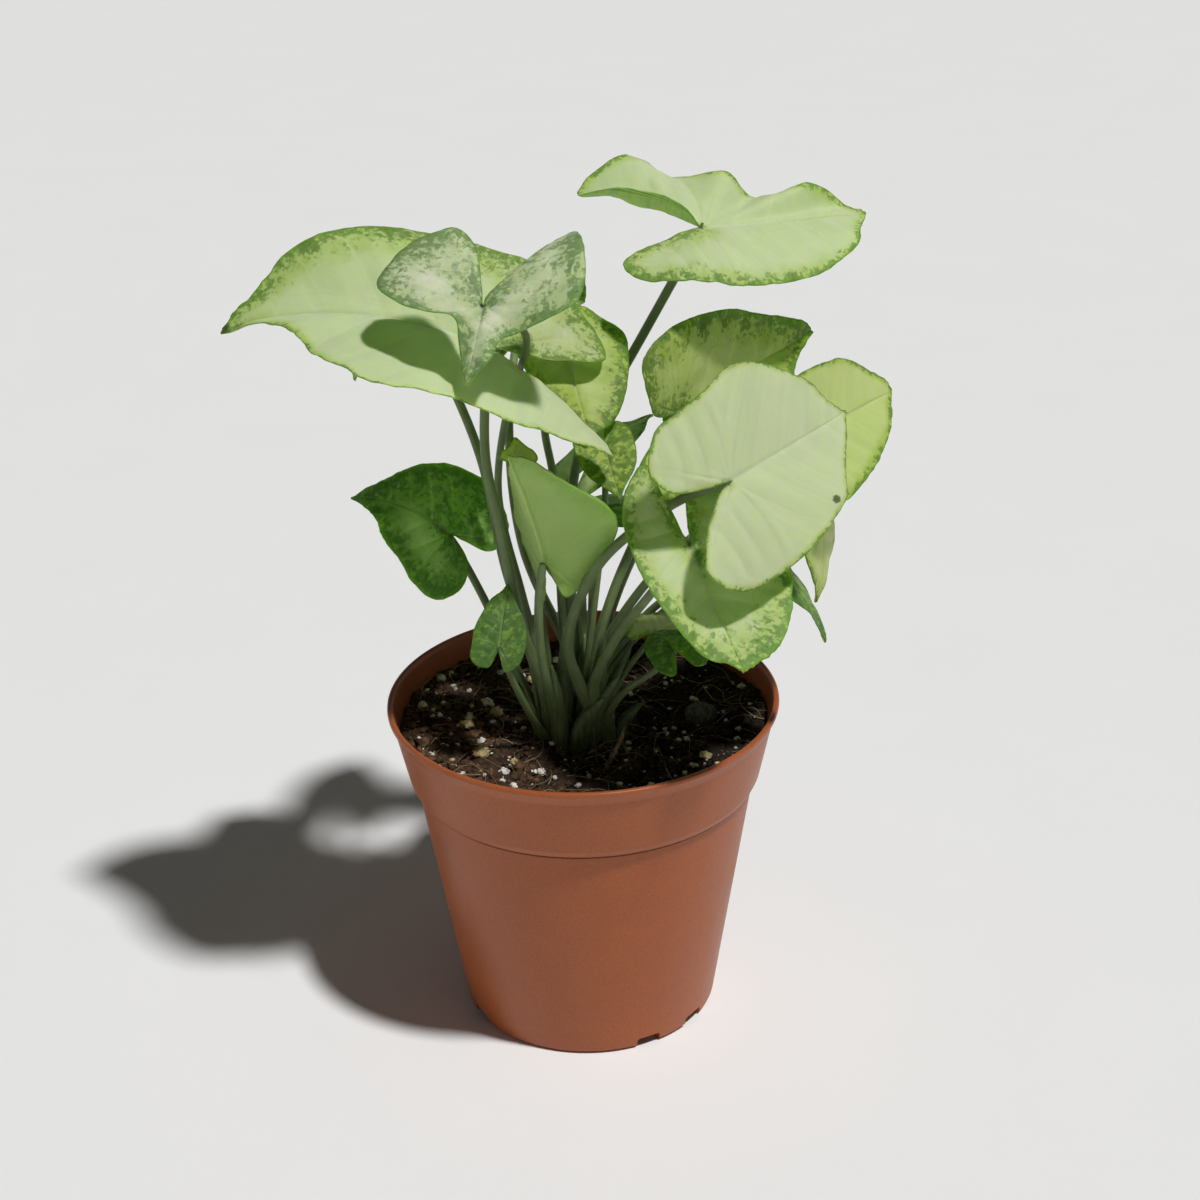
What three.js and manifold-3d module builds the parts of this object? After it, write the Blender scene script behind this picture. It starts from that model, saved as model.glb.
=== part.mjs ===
// An arrowhead plant (Syngonium podophyllum, a pale variegated form) in its plastic nursery pot.
//
// Millimetres, +Z up. The origin is the centre of the pot's base. +X is the plant's right and -Y its
// front. The plant is four shoots that stand in the soil, and each shoot carries its leaf stalks.
// Every leaf blade is a node of its own, held 0.3 mm clear of the stalk that carries it.
import * as THREE from "three";
import { mergeVertices } from "three/addons/utils/BufferGeometryUtils.js";
import Module from "manifold-3d";

// Pot: a thin-walled tapered tub with a wider collar and a rolled lip.
const POT_HEIGHT = 105;
const RIM_RADIUS = 60;
const COLLAR_BOTTOM = 79.5;
const COLLAR_RADIUS = 53.8;
const BODY_TOP_RADIUS = 52.3;
const BASE_RADIUS = 39.6;
const WALL = 1.2;
const FLOOR_TOP = 2.6;
const BASE_RECESS = 1.2;
const POT_SEGMENTS = 64;
const FLOOR_HOLES = 6;
const FLOOR_HOLE_RADIUS = 3;
const FLOOR_HOLE_CIRCLE = 24;
const NOTCH_WIDTH = 8;
const NOTCH_HEIGHT = 3.5;
const NOTCH_ANGLES = [-152, -64, -37, 23, 116, 143];

// Soil: a filling that stops 8 mm below the rim.
const SOIL_TOP = 97;
const SOIL_CLEARANCE = 0.4;
const SOIL_SEGMENTS = 40;
const SOIL_RINGS = 11;

// Shoots, stalks and blades.
const GAP = 0.3;
const CROWN_FOOT = 83;
const CROWN_TOP = 104;
const CROWN_RADIUS = 3.4;
const HOLE_RADIUS = 4.2;
const STALK_FOOT_RADIUS = 1.8;
const STALK_TOP_RADIUS = 1.1;
const STALK_SIDES = 6;
const BLADE_THICKNESS = 0.8;
const LARGE_REACH = 30;

// A blade's margin is given by its reach from the stalk at these angles from the midrib, and runs
// from the tip round the basal lobe and back to the stalk.
const MARGIN_ANGLES = [7, 18, 36, 62, 92, 120, 144, 162];
const TYPICAL_REACH = [0.84, 0.72, 0.6, 0.49, 0.445, 0.47, 0.5, 0.42];

// The length of a basal lobe and the width of half a blade, as shares of the length to the tip.
const LOBE_SHARE = 0.45;
const HALF_WIDTH_SHARE = 0.44;

// Where along the margin it flares up beside the notch, and how far that spreads.
const FLARE_PLACE = 0.86;
const FLARE_SPREAD = 0.06;

const rad = THREE.MathUtils.degToRad;
const vec = (p) => new THREE.Vector3(...p);

const wasm = await Module();
wasm.setup();

// A closed three.js geometry as a solid that can be joined and cut.
function solidOf(geometry) {
  const bare = geometry.clone();
  bare.deleteAttribute("normal");
  bare.deleteAttribute("uv");
  const merged = mergeVertices(bare, 1e-4);
  const corners = merged.index.array;
  const triVerts = [];
  for (let i = 0; i < corners.length; i += 3) {
    const [a, b, c] = corners.subarray(i, i + 3);
    if (a !== b && b !== c && c !== a) triVerts.push(a, b, c);
  }
  const vertProperties = merged.attributes.position.array;
  const mesh = new wasm.Mesh({ numProp: 3, vertProperties, triVerts: new Uint32Array(triVerts) });
  return new wasm.Manifold(mesh);
}

// A joined or cut solid back as a three.js geometry.
function geometryOf(solid) {
  const { vertProperties, triVerts } = solid.getMesh();
  const geometry = new THREE.BufferGeometry();
  geometry.setAttribute("position", new THREE.BufferAttribute(vertProperties, 3));
  geometry.setIndex(new THREE.BufferAttribute(triVerts, 1));
  geometry.computeVertexNormals();
  return geometry;
}

// Repeatable random numbers from 0 to 1.
function randomFrom(seed) {
  let state = seed;
  return () => {
    state = (state * 1664525 + 1013904223) % 4294967296;
    return state / 4294967296;
  };
}

// A profile of [radius, height] pairs turned about Z.
function turned(profile, segments) {
  const points = profile.map(([r, z]) => new THREE.Vector2(r, z));
  return new THREE.LatheGeometry(points, segments).rotateX(Math.PI / 2);
}

// An upright round peg, for holes.
function peg(radius, x, y, bottom, top, sides) {
  const shape = new THREE.CylinderGeometry(radius, radius, top - bottom, sides);
  return shape.rotateX(Math.PI / 2).translate(x, y, (bottom + top) / 2);
}

const plant = new THREE.Group();

function add(name, geometry, color, roughness) {
  const material = new THREE.MeshStandardMaterial({ color, roughness, metalness: 0 });
  const mesh = new THREE.Mesh(geometry, material);
  mesh.name = name;
  plant.add(mesh);
}

// ---------------------------------------------------------------- pot
// The outer and inner radius of the tapered body and of the collar, at a height.
const between = THREE.MathUtils.mapLinear;
const bodyRadius = (z) => between(z, 0, COLLAR_BOTTOM, BASE_RADIUS, BODY_TOP_RADIUS);
const collarRadius = (z) => between(z, COLLAR_BOTTOM, POT_HEIGHT, COLLAR_RADIUS, RIM_RADIUS - 0.6);

const potProfile = [
  [0, 0],
  [14, 0],
  [15, BASE_RECESS],
  [32, BASE_RECESS],
  [33, 0],
  [BASE_RADIUS - 1.4, 0],
  [BASE_RADIUS - 0.3, 0.8],
  [bodyRadius(2.5), 2.5],
  [bodyRadius(COLLAR_BOTTOM - 1), COLLAR_BOTTOM - 1],
  [BODY_TOP_RADIUS + 0.6, COLLAR_BOTTOM - 0.4],
  [COLLAR_RADIUS + 0.2, COLLAR_BOTTOM + 1],
  [collarRadius(POT_HEIGHT - 4), POT_HEIGHT - 4],
  [RIM_RADIUS - 0.2, POT_HEIGHT - 2.6],
  [RIM_RADIUS, POT_HEIGHT - 1.4],
  [RIM_RADIUS - 0.6, POT_HEIGHT - 0.2],
  [RIM_RADIUS - 1.4, POT_HEIGHT],
  [RIM_RADIUS - 2.2, POT_HEIGHT - 0.8],
  [collarRadius(POT_HEIGHT - 4) - WALL, POT_HEIGHT - 4],
  [COLLAR_RADIUS + 0.4 - WALL, COLLAR_BOTTOM + 1.2],
  [BODY_TOP_RADIUS - WALL + 0.2, COLLAR_BOTTOM],
  [bodyRadius(COLLAR_BOTTOM - 2) - WALL, COLLAR_BOTTOM - 2],
  [bodyRadius(FLOOR_TOP + 1.4) - WALL, FLOOR_TOP + 1.4],
  [BASE_RADIUS - 2.4, FLOOR_TOP],
  [0, FLOOR_TOP],
];
let pot = solidOf(turned(potProfile, POT_SEGMENTS));

// Round drain holes through the floor, and drain notches through the bottom edge of the wall.
for (let i = 0; i < FLOOR_HOLES; i++) {
  const angle = rad((360 / FLOOR_HOLES) * i + 30);
  const x = FLOOR_HOLE_CIRCLE * Math.cos(angle);
  const y = FLOOR_HOLE_CIRCLE * Math.sin(angle);
  pot = pot.subtract(solidOf(peg(FLOOR_HOLE_RADIUS, x, y, -1, 4, 12)));
}
for (const angle of NOTCH_ANGLES) {
  const notch = new THREE.BoxGeometry(10, NOTCH_WIDTH, 2 * NOTCH_HEIGHT).translate(BASE_RADIUS - 1, 0, 0);
  pot = pot.subtract(solidOf(notch.rotateZ(rad(angle))));
}
add("pot", geometryOf(pot), 0x965a3c, 0.45);

// ---------------------------------------------------------------- shoots
// Where each shoot stands in the soil.
const SHOOT_FEET = { left: [-11, -15], middle: [-2, -11], right: [7, -16], back: [3, 2] };

// ---------------------------------------------------------------- soil
// Low mounds and dips of the surface, flat at the wall.
function soilHeight(x, y) {
  const mounds = 0.8 * Math.sin(0.13 * x + 0.7) * Math.cos(0.11 * y - 0.5);
  const lumps = 0.6 * Math.sin(0.39 * x - 0.23 * y + 1.9) + 0.4 * Math.cos(0.31 * x + 0.47 * y);
  return SOIL_TOP + mounds + lumps;
}

// Grit and perlite that lie half sunk in the surface: [x, y, diameter].
const GRAINS = [
  [-45, 29, 3], [-30, 10, 4], [-27, 4, 4], [-50, 10, 4], [-35, -1, 3], [-32, -13, 3],
  [-31, -22, 4], [-39, -28, 3], [-24, -32, 3], [-13, -33, 3], [-21, -41, 3], [-2, -41, 3],
  [13, -41, 3], [1, -34, 3], [27, 6, 3], [21, -8, 3], [47, -9, 3], [50, 18, 3],
  [36, -27, 4], [36, -2, 9], [28, 30, 5], [-8, 38, 4], [-26, 30, 3], [10, 46, 3],
];

function soilBody() {
  const topRadius = collarRadius(SOIL_TOP) - WALL - SOIL_CLEARANCE - 0.2;
  const side = [
    [COLLAR_RADIUS - WALL - SOIL_CLEARANCE, COLLAR_BOTTOM + 2.2],
    [BODY_TOP_RADIUS - WALL - SOIL_CLEARANCE, COLLAR_BOTTOM],
    [bodyRadius(COLLAR_BOTTOM - 2) - WALL - SOIL_CLEARANCE, COLLAR_BOTTOM - 2],
    [bodyRadius(FLOOR_TOP + 2) - WALL - SOIL_CLEARANCE, FLOOR_TOP + 2],
    [BASE_RADIUS - 3, FLOOR_TOP + GAP],
  ];
  const position = [0, 0, soilHeight(0, 0)];
  for (let ring = 1; ring <= SOIL_RINGS + side.length; ring++)
    for (let i = 0; i < SOIL_SEGMENTS; i++) {
      const angle = (2 * Math.PI * i) / SOIL_SEGMENTS;
      const inTop = ring <= SOIL_RINGS;
      const r = inTop ? (topRadius * ring) / SOIL_RINGS : side[ring - SOIL_RINGS - 1][0];
      const x = r * Math.cos(angle);
      const y = r * Math.sin(angle);
      position.push(x, y, inTop ? soilHeight(x, y) : side[ring - SOIL_RINGS - 1][1]);
    }
  const last = SOIL_RINGS + side.length;
  position.push(0, 0, FLOOR_TOP + GAP);
  const bottom = position.length / 3 - 1;
  const at = (ring, i) => 1 + (ring - 1) * SOIL_SEGMENTS + (i % SOIL_SEGMENTS);
  const index = [];
  for (let i = 0; i < SOIL_SEGMENTS; i++) {
    index.push(0, at(1, i), at(1, i + 1));
    for (let ring = 1; ring < last; ring++) {
      index.push(at(ring, i), at(ring + 1, i), at(ring + 1, i + 1));
      index.push(at(ring, i), at(ring + 1, i + 1), at(ring, i + 1));
    }
    index.push(at(last, i), bottom, at(last, i + 1));
  }
  const geometry = new THREE.BufferGeometry();
  geometry.setAttribute("position", new THREE.Float32BufferAttribute(position, 3));
  return geometry.setIndex(index);
}

let soil = solidOf(soilBody());
const grainRandom = randomFrom(7);
for (const [x, y, diameter] of GRAINS) {
  const grain = new THREE.IcosahedronGeometry(diameter / 2, 0);
  grain.scale(1 + 0.4 * grainRandom(), 1, 0.9);
  grain.rotateX(3 * grainRandom()).rotateZ(6 * grainRandom());
  soil = soil.add(solidOf(grain.translate(x, y, soilHeight(x, y) + 0.1 * diameter)));
}
for (const [x, y] of Object.values(SHOOT_FEET)) {
  soil = soil.subtract(solidOf(peg(HOLE_RADIUS, x, y, CROWN_FOOT - GAP, POT_HEIGHT, 16)));
}
add("soil", geometryOf(soil), 0x2e2119, 0.95);

// ---------------------------------------------------------------- leaves
// One record a leaf. joint is where the stalk meets the blade. heading is the way the tip points,
// from +X towards +Y, dip how far it points down, and roll how far the left half is turned up. bend is
// how far the blade curves down to its tip, and droop how far each basal lobe does. fold lifts each
// half from the midrib, and curl bends it down again towards the margin. wave is the height, count
// and phase of the margin's waves, and flare the rise of the margin beside the notch. Pairs are for
// the left half, then the right. Degrees and mm. stalk is the way from the shoot to the joint.
const LEAVES = [
  {
    name: "leaf_broad", color: 0xd9dfb2, shoot: "left", joint: [-24, -8, 221],
    heading: 178, dip: -27, roll: -20, bend: 55, twist: -5,
    fold: [25, 20], curl: [18, 18], droop: [23, -3], wave: [[1.7, 3, 331], [-2.4, 3, 331]],
    tip: 82, left: [63, 54, 51, 48, 37, 38, 44, 43], right: [76, 66, 53, 41, 35, 34, 37, 32],
    stalk: [[-11, -16, 112], [-18, -16, 139], [-23, -14, 170], [-26, -12, 190]],
  },
  {
    name: "leaf_winged", color: 0xdfe3c8, shoot: "left", joint: [-24, -33, 242],
    heading: 256, dip: 38, roll: -7, bend: 0, twist: -5,
    fold: [25, 23], curl: [6, 8], droop: [23, 16], wave: [[3, 2, 325], [-5, 2, 13]],
    tip: 25, left: [23, 20, 13, 15, 28, 30, 31, 9], right: [19, 14, 11, 18, 30, 31, 26, 18],
    stalk: [[-11, -12, 113], [-17, -9, 143], [-23, -5, 175], [-19, -6, 203], [-13, -12, 225]],
  },
  {
    name: "leaf_top", color: 0xe3e6c0, shoot: "middle", joint: [39, 30, 243],
    heading: 20, dip: 5, roll: 25, bend: -5, twist: 3,
    fold: [10, 9], curl: [18, 21], droop: [2, 11], wave: [[4.2, 4.5, 122], [1.9, 2, 4]],
    flare: [4, 0],
    tip: 53, left: [50, 36, 26, 22, 31, 36, 38, 6], right: [49, 46, 36, 27, 25, 27, 31, 28],
    stalk: [[-3, -4, 123], [-3, -1, 152], [-1, 7, 174], [3, 15, 185], [17, 28, 204], [31, 31, 228]],
  },
  {
    name: "leaf_upper_right", color: 0xc3cf8a, shoot: "middle", joint: [30, 9, 193],
    heading: 47, dip: -9, roll: 67, bend: -20, twist: -2,
    fold: [31, 16], curl: [19, 20], droop: [-3, 10], wave: [[0.8, 3, 40], [0.8, 3, 200]],
    tip: 56, left: [53, 44, 36, 29, 26, 25, 14, 8], right: [47, 41, 34, 28, 25, 26, 27, 22],
    stalk: [[3, -9, 121], [10, -2, 141], [22, 6, 167]],
  },
  {
    name: "leaf_front_right", color: 0xe9ebd2, shoot: "right", joint: [42, -46, 194],
    heading: 35, dip: -14, roll: 54, bend: 24, twist: 0,
    fold: [21, 14], curl: [8, 20], droop: [5, -6], wave: [[0.2, 3, 0], [-1.5, 2, 358]],
    tip: 51, left: [44, 41, 36, 32, 25, 27, 26, 18], right: [46, 39, 35, 30, 29, 31, 27, 8],
    stalk: [[-4, -20, 131], [-1, -22, 146], [6, -27, 162], [15, -29, 172], [29, -34, 184]],
  },
  {
    name: "leaf_far_right", color: 0xc2cf6a, shoot: "back", joint: [66, -12, 192],
    heading: 35, dip: -14, roll: 49, bend: 30, twist: 2,
    fold: [23, 13], curl: [12, 19], droop: [15, 15], wave: [[0.7, 3, 90], [0.7, 3, 250]],
    tip: 41, left: [39, 33, 27, 20, 17, 19, 20, 17], right: [36, 30, 25, 21, 21, 20, 21, 17],
    stalk: [[5, -4, 119], [18, -4, 142], [42, -8, 169]],
  },
  {
    name: "leaf_low_right", color: 0xd3dcae, shoot: "right", joint: [31, -41, 173],
    heading: 293, dip: 40, roll: -8, bend: -5, twist: 4,
    fold: [20, 14], curl: [8, 20], droop: [4, -16], wave: [[-0.4, 2, 356], [-1.4, 2, 338]],
    tip: 41, left: [40, 39, 34, 28, 22, 21, 22, 18], right: [37, 34, 27, 22, 19, 21, 25, 25],
    stalk: [[3, -20, 117], [10, -28, 138], [20, -38, 157]],
  },
  {
    name: "leaf_yellow", color: 0xb9c75c, shoot: "middle", joint: [-3, 11, 215],
    heading: 286, dip: 38, roll: -1, bend: 0, twist: 0,
    fold: [11, 14], curl: [11, 17], droop: [18, 16], wave: [[0.6, 3, 30], [0.6, 3, 300]],
    tip: 32, left: [31, 29, 24, 20, 19, 15, 15, 13], right: [27, 21, 19, 16, 15, 15, 16, 13],
    stalk: [[-5, -8, 125], [-6, -3, 152], [-7, 2, 177], [-9, 5, 194]],
  },
  {
    name: "leaf_hanging", color: 0xc9cf96, shoot: "back", joint: [71, -10, 165],
    heading: 352, dip: 82, roll: 17, bend: 21, twist: 0,
    fold: [8, 7], curl: [23, 24], droop: [15, 15], wave: [[0.5, 3, 0], [0.5, 3, 120]], tip: 27,
    stalk: [[8, 5, 111], [33, 8, 136], [58, 2, 159]],
  },
  {
    name: "leaf_slender", color: 0x8fa85a, shoot: "back", joint: [52, -22, 162],
    heading: 344, dip: 34, roll: -11, bend: 36, twist: -1,
    fold: [5, 8], curl: [27, 25], droop: [15, 15], wave: [[0.5, 3, 60], [0.5, 3, 180]], tip: 34,
    stalk: [[6, 1, 113], [21, 6, 130], [38, -7, 148]],
  },
  {
    name: "leaf_upright", color: 0x8fae6e, shoot: "middle", joint: [-10, -23, 161],
    heading: 240, dip: -74, roll: -1, bend: 16, twist: 1,
    fold: [33, 47], curl: [10, 17], droop: [9, 13], wave: [[0.4, 3, 0], [0.4, 3, 90]],
    tip: 43, left: [40, 34, 29, 27, 18, 13, 14, 13], right: [36, 31, 26, 21, 19, 19, 20, 17],
    stalk: [[-9, -20, 114], [-12, -22, 132], [-12, -23, 149]],
  },
  {
    name: "leaf_left", color: 0x5f7f52, shoot: "left", joint: [-38, 5, 158],
    heading: 165, dip: -38, roll: -27, bend: 65, twist: 0,
    fold: [-2, 17], curl: [24, 10], droop: [34, 23], wave: [[0.6, 3, 200], [0.6, 3, 10]],
    tip: 38, left: [30, 24, 21, 18, 20, 21, 17, 9], right: [32, 28, 25, 22, 21, 19, 17, 12],
    stalk: [[-16, -13, 111], [-22, -8, 125], [-29, 0, 139]],
  },
  {
    name: "leaf_small_left", color: 0x5a7a4e, shoot: "left", joint: [-24, -29, 137],
    heading: 73, dip: -61, roll: 5, bend: 18, twist: 0,
    fold: [12, 14], curl: [19, 18], droop: [12, 13], wave: [[0.3, 2, 0], [0.3, 2, 90]],
    tip: 19, left: [16, 14, 11, 9, 8, 9, 8, 6], right: [16, 13, 11, 9, 8, 8, 8, 7],
    stalk: [[-16, -22, 111], [-20, -26, 123]],
  },
  {
    name: "leaf_middle_back", color: 0xb6c6a0, shoot: "back", joint: [3, 25, 170],
    heading: 49, dip: -27, roll: -13, bend: 24, twist: -1,
    fold: [11, 14], curl: [21, 18], droop: [15, 15], wave: [[0.6, 3, 120], [0.6, 3, 0]], tip: 32,
    stalk: [[1, 5, 118], [1, 15, 144]],
  },
  {
    name: "leaf_middle", color: 0x7d8a3a, shoot: "middle", joint: [8, -10, 191],
    heading: 284, dip: 30, roll: 7, bend: 0, twist: 2,
    fold: [19, 18], curl: [22, 23], droop: [15, 15], wave: [[0.3, 2, 0], [0.3, 2, 90]], tip: 20,
    stalk: [[2, -10, 125], [6, -9, 155], [8, -9, 174]],
  },
  {
    name: "leaf_crest", color: 0xa9bb55, shoot: "left", joint: [-17, -16, 190],
    heading: 92, dip: -30, roll: 8, bend: 12, twist: 0,
    fold: [10, 10], curl: [8, 8], droop: [15, 15], wave: [[0.3, 2, 0], [0.3, 2, 90]],
    tip: 9, left: [8, 6, 5, 5, 5, 3, 3, 3], right: [8, 7, 6, 6, 6, 4, 3, 3],
    stalk: [[-10, -9, 117], [-13, -3, 148], [-16, -5, 172]],
  },
  {
    name: "leaf_low_pale", color: 0xbecb98, shoot: "right", joint: [22, -9, 130],
    heading: 50, dip: -2, roll: 15, bend: 21, twist: 0,
    fold: [15, 13], curl: [18, 19], droop: [8, 15], wave: [[0.2, 2, 0], [0.2, 2, 90]], tip: 18,
    stalk: [[7, -14, 107], [13, -10, 118]],
  },
  {
    name: "leaf_low_round", color: 0x5b7446, shoot: "right", joint: [27, -26, 133],
    heading: 108, dip: -8, roll: -12, bend: 29, twist: 0,
    fold: [10, 11], curl: [21, 21], droop: [20, 17], wave: [[0.3, 2, 0], [0.3, 2, 90]],
    tip: 17, left: [15, 13, 11, 9, 8, 9, 10, 9], right: [15, 13, 11, 10, 9, 10, 11, 9],
    stalk: [[8, -20, 110], [14, -24, 120], [21, -26, 126]],
  },
  {
    name: "leaf_back_left", color: 0xa9bd7c, shoot: "left", joint: [-42, 26, 210],
    heading: 130, dip: 5, roll: 5, bend: 45, twist: 0,
    fold: [12, 12], curl: [20, 20], droop: [15, 15], wave: [[0.8, 3, 0], [0.8, 3, 140]], tip: 46,
    stalk: [[-15, -9, 125], [-22, -2, 150], [-28, 8, 180], [-36, 19, 199]],
  },
  {
    name: "leaf_back_right", color: 0xa9bd7c, shoot: "back", joint: [47, 44, 175],
    heading: 55, dip: 5, roll: 10, bend: 45, twist: 0,
    fold: [12, 12], curl: [20, 20], droop: [15, 15], wave: [[0.8, 3, 70], [0.8, 3, 250]], tip: 42,
    stalk: [[6, 8, 118], [18, 20, 145], [36, 34, 165]],
  },
  {
    name: "leaf_back_low", color: 0x8ea968, shoot: "back", joint: [4, 36, 152],
    heading: 95, dip: 5, roll: 0, bend: 50, twist: 0,
    fold: [12, 12], curl: [20, 20], droop: [15, 15], wave: [[0.7, 3, 10], [0.7, 3, 190]], tip: 38,
    stalk: [[3, 10, 116], [4, 22, 136]],
  },
  {
    name: "leaf_back_top", color: 0xb7c88c, shoot: "back", joint: [-15, 51, 217],
    heading: 90, dip: -5, roll: 0, bend: 50, twist: 0,
    fold: [12, 12], curl: [20, 20], droop: [15, 15], wave: [[0.8, 3, 200], [0.8, 3, 20]], tip: 44,
    stalk: [[-5, 6, 120], [-17, 13, 150], [-20, 28, 185]],
  },
];

// The way a blade faces: ahead along the midrib, left across it, and up out of its upper face.
function bladeAxes(leaf) {
  const heading = rad(leaf.heading);
  const dip = rad(leaf.dip);
  const ahead = new THREE.Vector3(
    Math.cos(heading) * Math.cos(dip), Math.sin(heading) * Math.cos(dip), -Math.sin(dip),
  );
  const left = new THREE.Vector3(-Math.sin(heading), Math.cos(heading), 0);
  const up = ahead.clone().cross(left);
  left.applyAxisAngle(ahead, rad(leaf.roll));
  up.applyAxisAngle(ahead, rad(leaf.roll));
  return { ahead, left, up };
}

// The margin of one half, from the tip at 0 to the stalk at 1.
function marginOf(leaf, side) {
  const given = side > 0 ? leaf.left : leaf.right;
  const reach = given ?? TYPICAL_REACH.map((share) => share * leaf.tip);
  const points = [new THREE.Vector2(leaf.tip, 0)];
  MARGIN_ANGLES.forEach((degrees, i) => {
    const angle = rad(degrees);
    points.push(new THREE.Vector2(reach[i] * Math.cos(angle), side * reach[i] * Math.sin(angle)));
  });
  points.push(new THREE.Vector2(0, 0));
  return new THREE.SplineCurve(points);
}

// How far along and aside a point is, length from the start of an arc that turns by turn in each mm.
function onArc(length, turn) {
  const angle = length * turn;
  if (Math.abs(angle) < 1e-5) return [length, (length * angle) / 2];
  return [Math.sin(angle) / turn, (1 - Math.cos(angle)) / turn];
}

// A point of the blade: the flat point at a share of the way from the stalk to the margin at t,
// folded and curled across the midrib, waved and flared near the margin, and bent along the midrib.
function bladePoint(leaf, axes, margin, side, t, share) {
  const flat = margin.getPoint(t).multiplyScalar(share);
  const half = side > 0 ? 0 : 1;
  const lobe = rad(leaf.droop[half]) / (LOBE_SHARE * leaf.tip);
  const [along, down] = onArc(Math.abs(flat.x), flat.x >= 0 ? rad(leaf.bend) / leaf.tip : lobe);
  const slope = Math.abs(flat.x) * (flat.x >= 0 ? rad(leaf.bend) / leaf.tip : -lobe);
  const [out, up] = onArc(Math.abs(flat.y), -rad(leaf.curl[half]) / (HALF_WIDTH_SHARE * leaf.tip));
  const fold = rad(leaf.fold[half]);
  const [height, count, phase] = leaf.wave[half];
  const fade = Math.min(1, 6 * t) * Math.min(1, 5 * (1 - t));
  const wave = height * Math.sin(2 * Math.PI * count * t + rad(phase)) * fade;
  const flare = (leaf.flare?.[half] ?? 0) * Math.exp(-(((t - FLARE_PLACE) / FLARE_SPREAD) ** 2));
  const across = side * (out * Math.cos(fold) - up * Math.sin(fold));
  const above = out * Math.sin(fold) + up * Math.cos(fold) + (wave + flare) * share * share;
  const twist = (rad(leaf.twist) * flat.x) / leaf.tip;
  const y = across * Math.cos(twist) - above * Math.sin(twist);
  const z = across * Math.sin(twist) + above * Math.cos(twist);
  return vec(leaf.joint)
    .addScaledVector(axes.ahead, Math.sign(flat.x) * along + z * Math.sin(slope))
    .addScaledVector(axes.left, y)
    .addScaledVector(axes.up, z * Math.cos(slope) - down);
}

// A blade as one closed sheet: rays fan out from the stalk, from the right lobe round the tip to the
// left lobe, with rings of points on them, more of both in a large blade. Both faces are split into
// the same triangles.
function bladeGeometry(leaf) {
  const large = Math.max(leaf.tip, ...(leaf.right ?? [])) > LARGE_REACH;
  const columns = large ? 4 * Math.max(3, leaf.wave[0][1]) : 10;
  const rings = large ? 4 : 3;
  const axes = bladeAxes(leaf);
  const middle = [...leaf.joint];
  for (let ray = 1 - columns; ray < columns; ray++) {
    const side = ray < 0 ? -1 : 1;
    const margin = marginOf(leaf, side);
    for (let ring = 1; ring <= rings; ring++)
      middle.push(...bladePoint(leaf, axes, margin, side, Math.abs(ray) / columns, ring / rings));
  }
  const rays = 2 * columns - 1;
  const at = (ray, ring) => (ring === 0 ? 0 : 1 + ray * rings + ring - 1);
  const upper = [];
  for (let ray = 0; ray < rays - 1; ray++)
    for (let ring = 0; ring < rings; ring++) {
      upper.push(at(ray, ring), at(ray, ring + 1), at(ray + 1, ring + 1));
      if (ring > 0) upper.push(at(ray, ring), at(ray + 1, ring + 1), at(ray + 1, ring));
    }
  const edge = [];
  for (let ring = 0; ring < rings; ring++) edge.push(at(0, ring));
  for (let ray = 0; ray < rays; ray++) edge.push(at(ray, rings));
  for (let ring = rings - 1; ring > 0; ring--) edge.push(at(rays - 1, ring));

  const sheet = new THREE.BufferGeometry();
  sheet.setAttribute("position", new THREE.Float32BufferAttribute(middle, 3));
  sheet.setIndex(upper).computeVertexNormals();
  const normal = sheet.attributes.normal.array;
  const total = middle.length / 3;
  const position = [];
  for (const face of [0.5, -0.5])
    middle.forEach((value, i) => position.push(value + face * BLADE_THICKNESS * normal[i]));
  const index = [...upper];
  for (let i = 0; i < upper.length; i += 3)
    index.push(total + upper[i], total + upper[i + 2], total + upper[i + 1]);
  edge.forEach((a, i) => {
    const b = edge[(i + 1) % edge.length];
    index.push(b, a, total + a, b, total + a, total + b);
  });
  const blade = new THREE.BufferGeometry();
  blade.setAttribute("position", new THREE.Float32BufferAttribute(position, 3));
  blade.setIndex(index).computeVertexNormals();
  return blade;
}

for (const leaf of LEAVES) add(leaf.name, bladeGeometry(leaf), leaf.color, 0.5);

// ---------------------------------------------------------------- stalks on their shoots
// A closed tapered tube along a smooth curve through points.
function taperedTube(points, startRadius, endRadius, sides, steps) {
  const curve = new THREE.CatmullRomCurve3(points);
  const { normals, binormals } = curve.computeFrenetFrames(steps, false);
  const position = [];
  for (let step = 0; step <= steps; step++) {
    const centre = curve.getPointAt(step / steps);
    const radius = THREE.MathUtils.lerp(startRadius, endRadius, step / steps);
    for (let i = 0; i < sides; i++) {
      const angle = (2 * Math.PI * i) / sides;
      const corner = centre.clone()
        .addScaledVector(normals[step], radius * Math.cos(angle))
        .addScaledVector(binormals[step], radius * Math.sin(angle));
      position.push(...corner);
    }
  }
  position.push(...curve.getPointAt(0), ...curve.getPointAt(1));
  const at = (step, i) => step * sides + (i % sides);
  const startCap = (steps + 1) * sides;
  const index = [];
  for (let i = 0; i < sides; i++) {
    for (let step = 0; step < steps; step++) {
      index.push(at(step, i), at(step, i + 1), at(step + 1, i + 1));
      index.push(at(step, i), at(step + 1, i + 1), at(step + 1, i));
    }
    index.push(startCap, at(0, i + 1), at(0, i));
    index.push(startCap + 1, at(steps, i), at(steps, i + 1));
  }
  const geometry = new THREE.BufferGeometry();
  geometry.setAttribute("position", new THREE.Float32BufferAttribute(position, 3));
  return geometry.setIndex(index);
}

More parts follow.
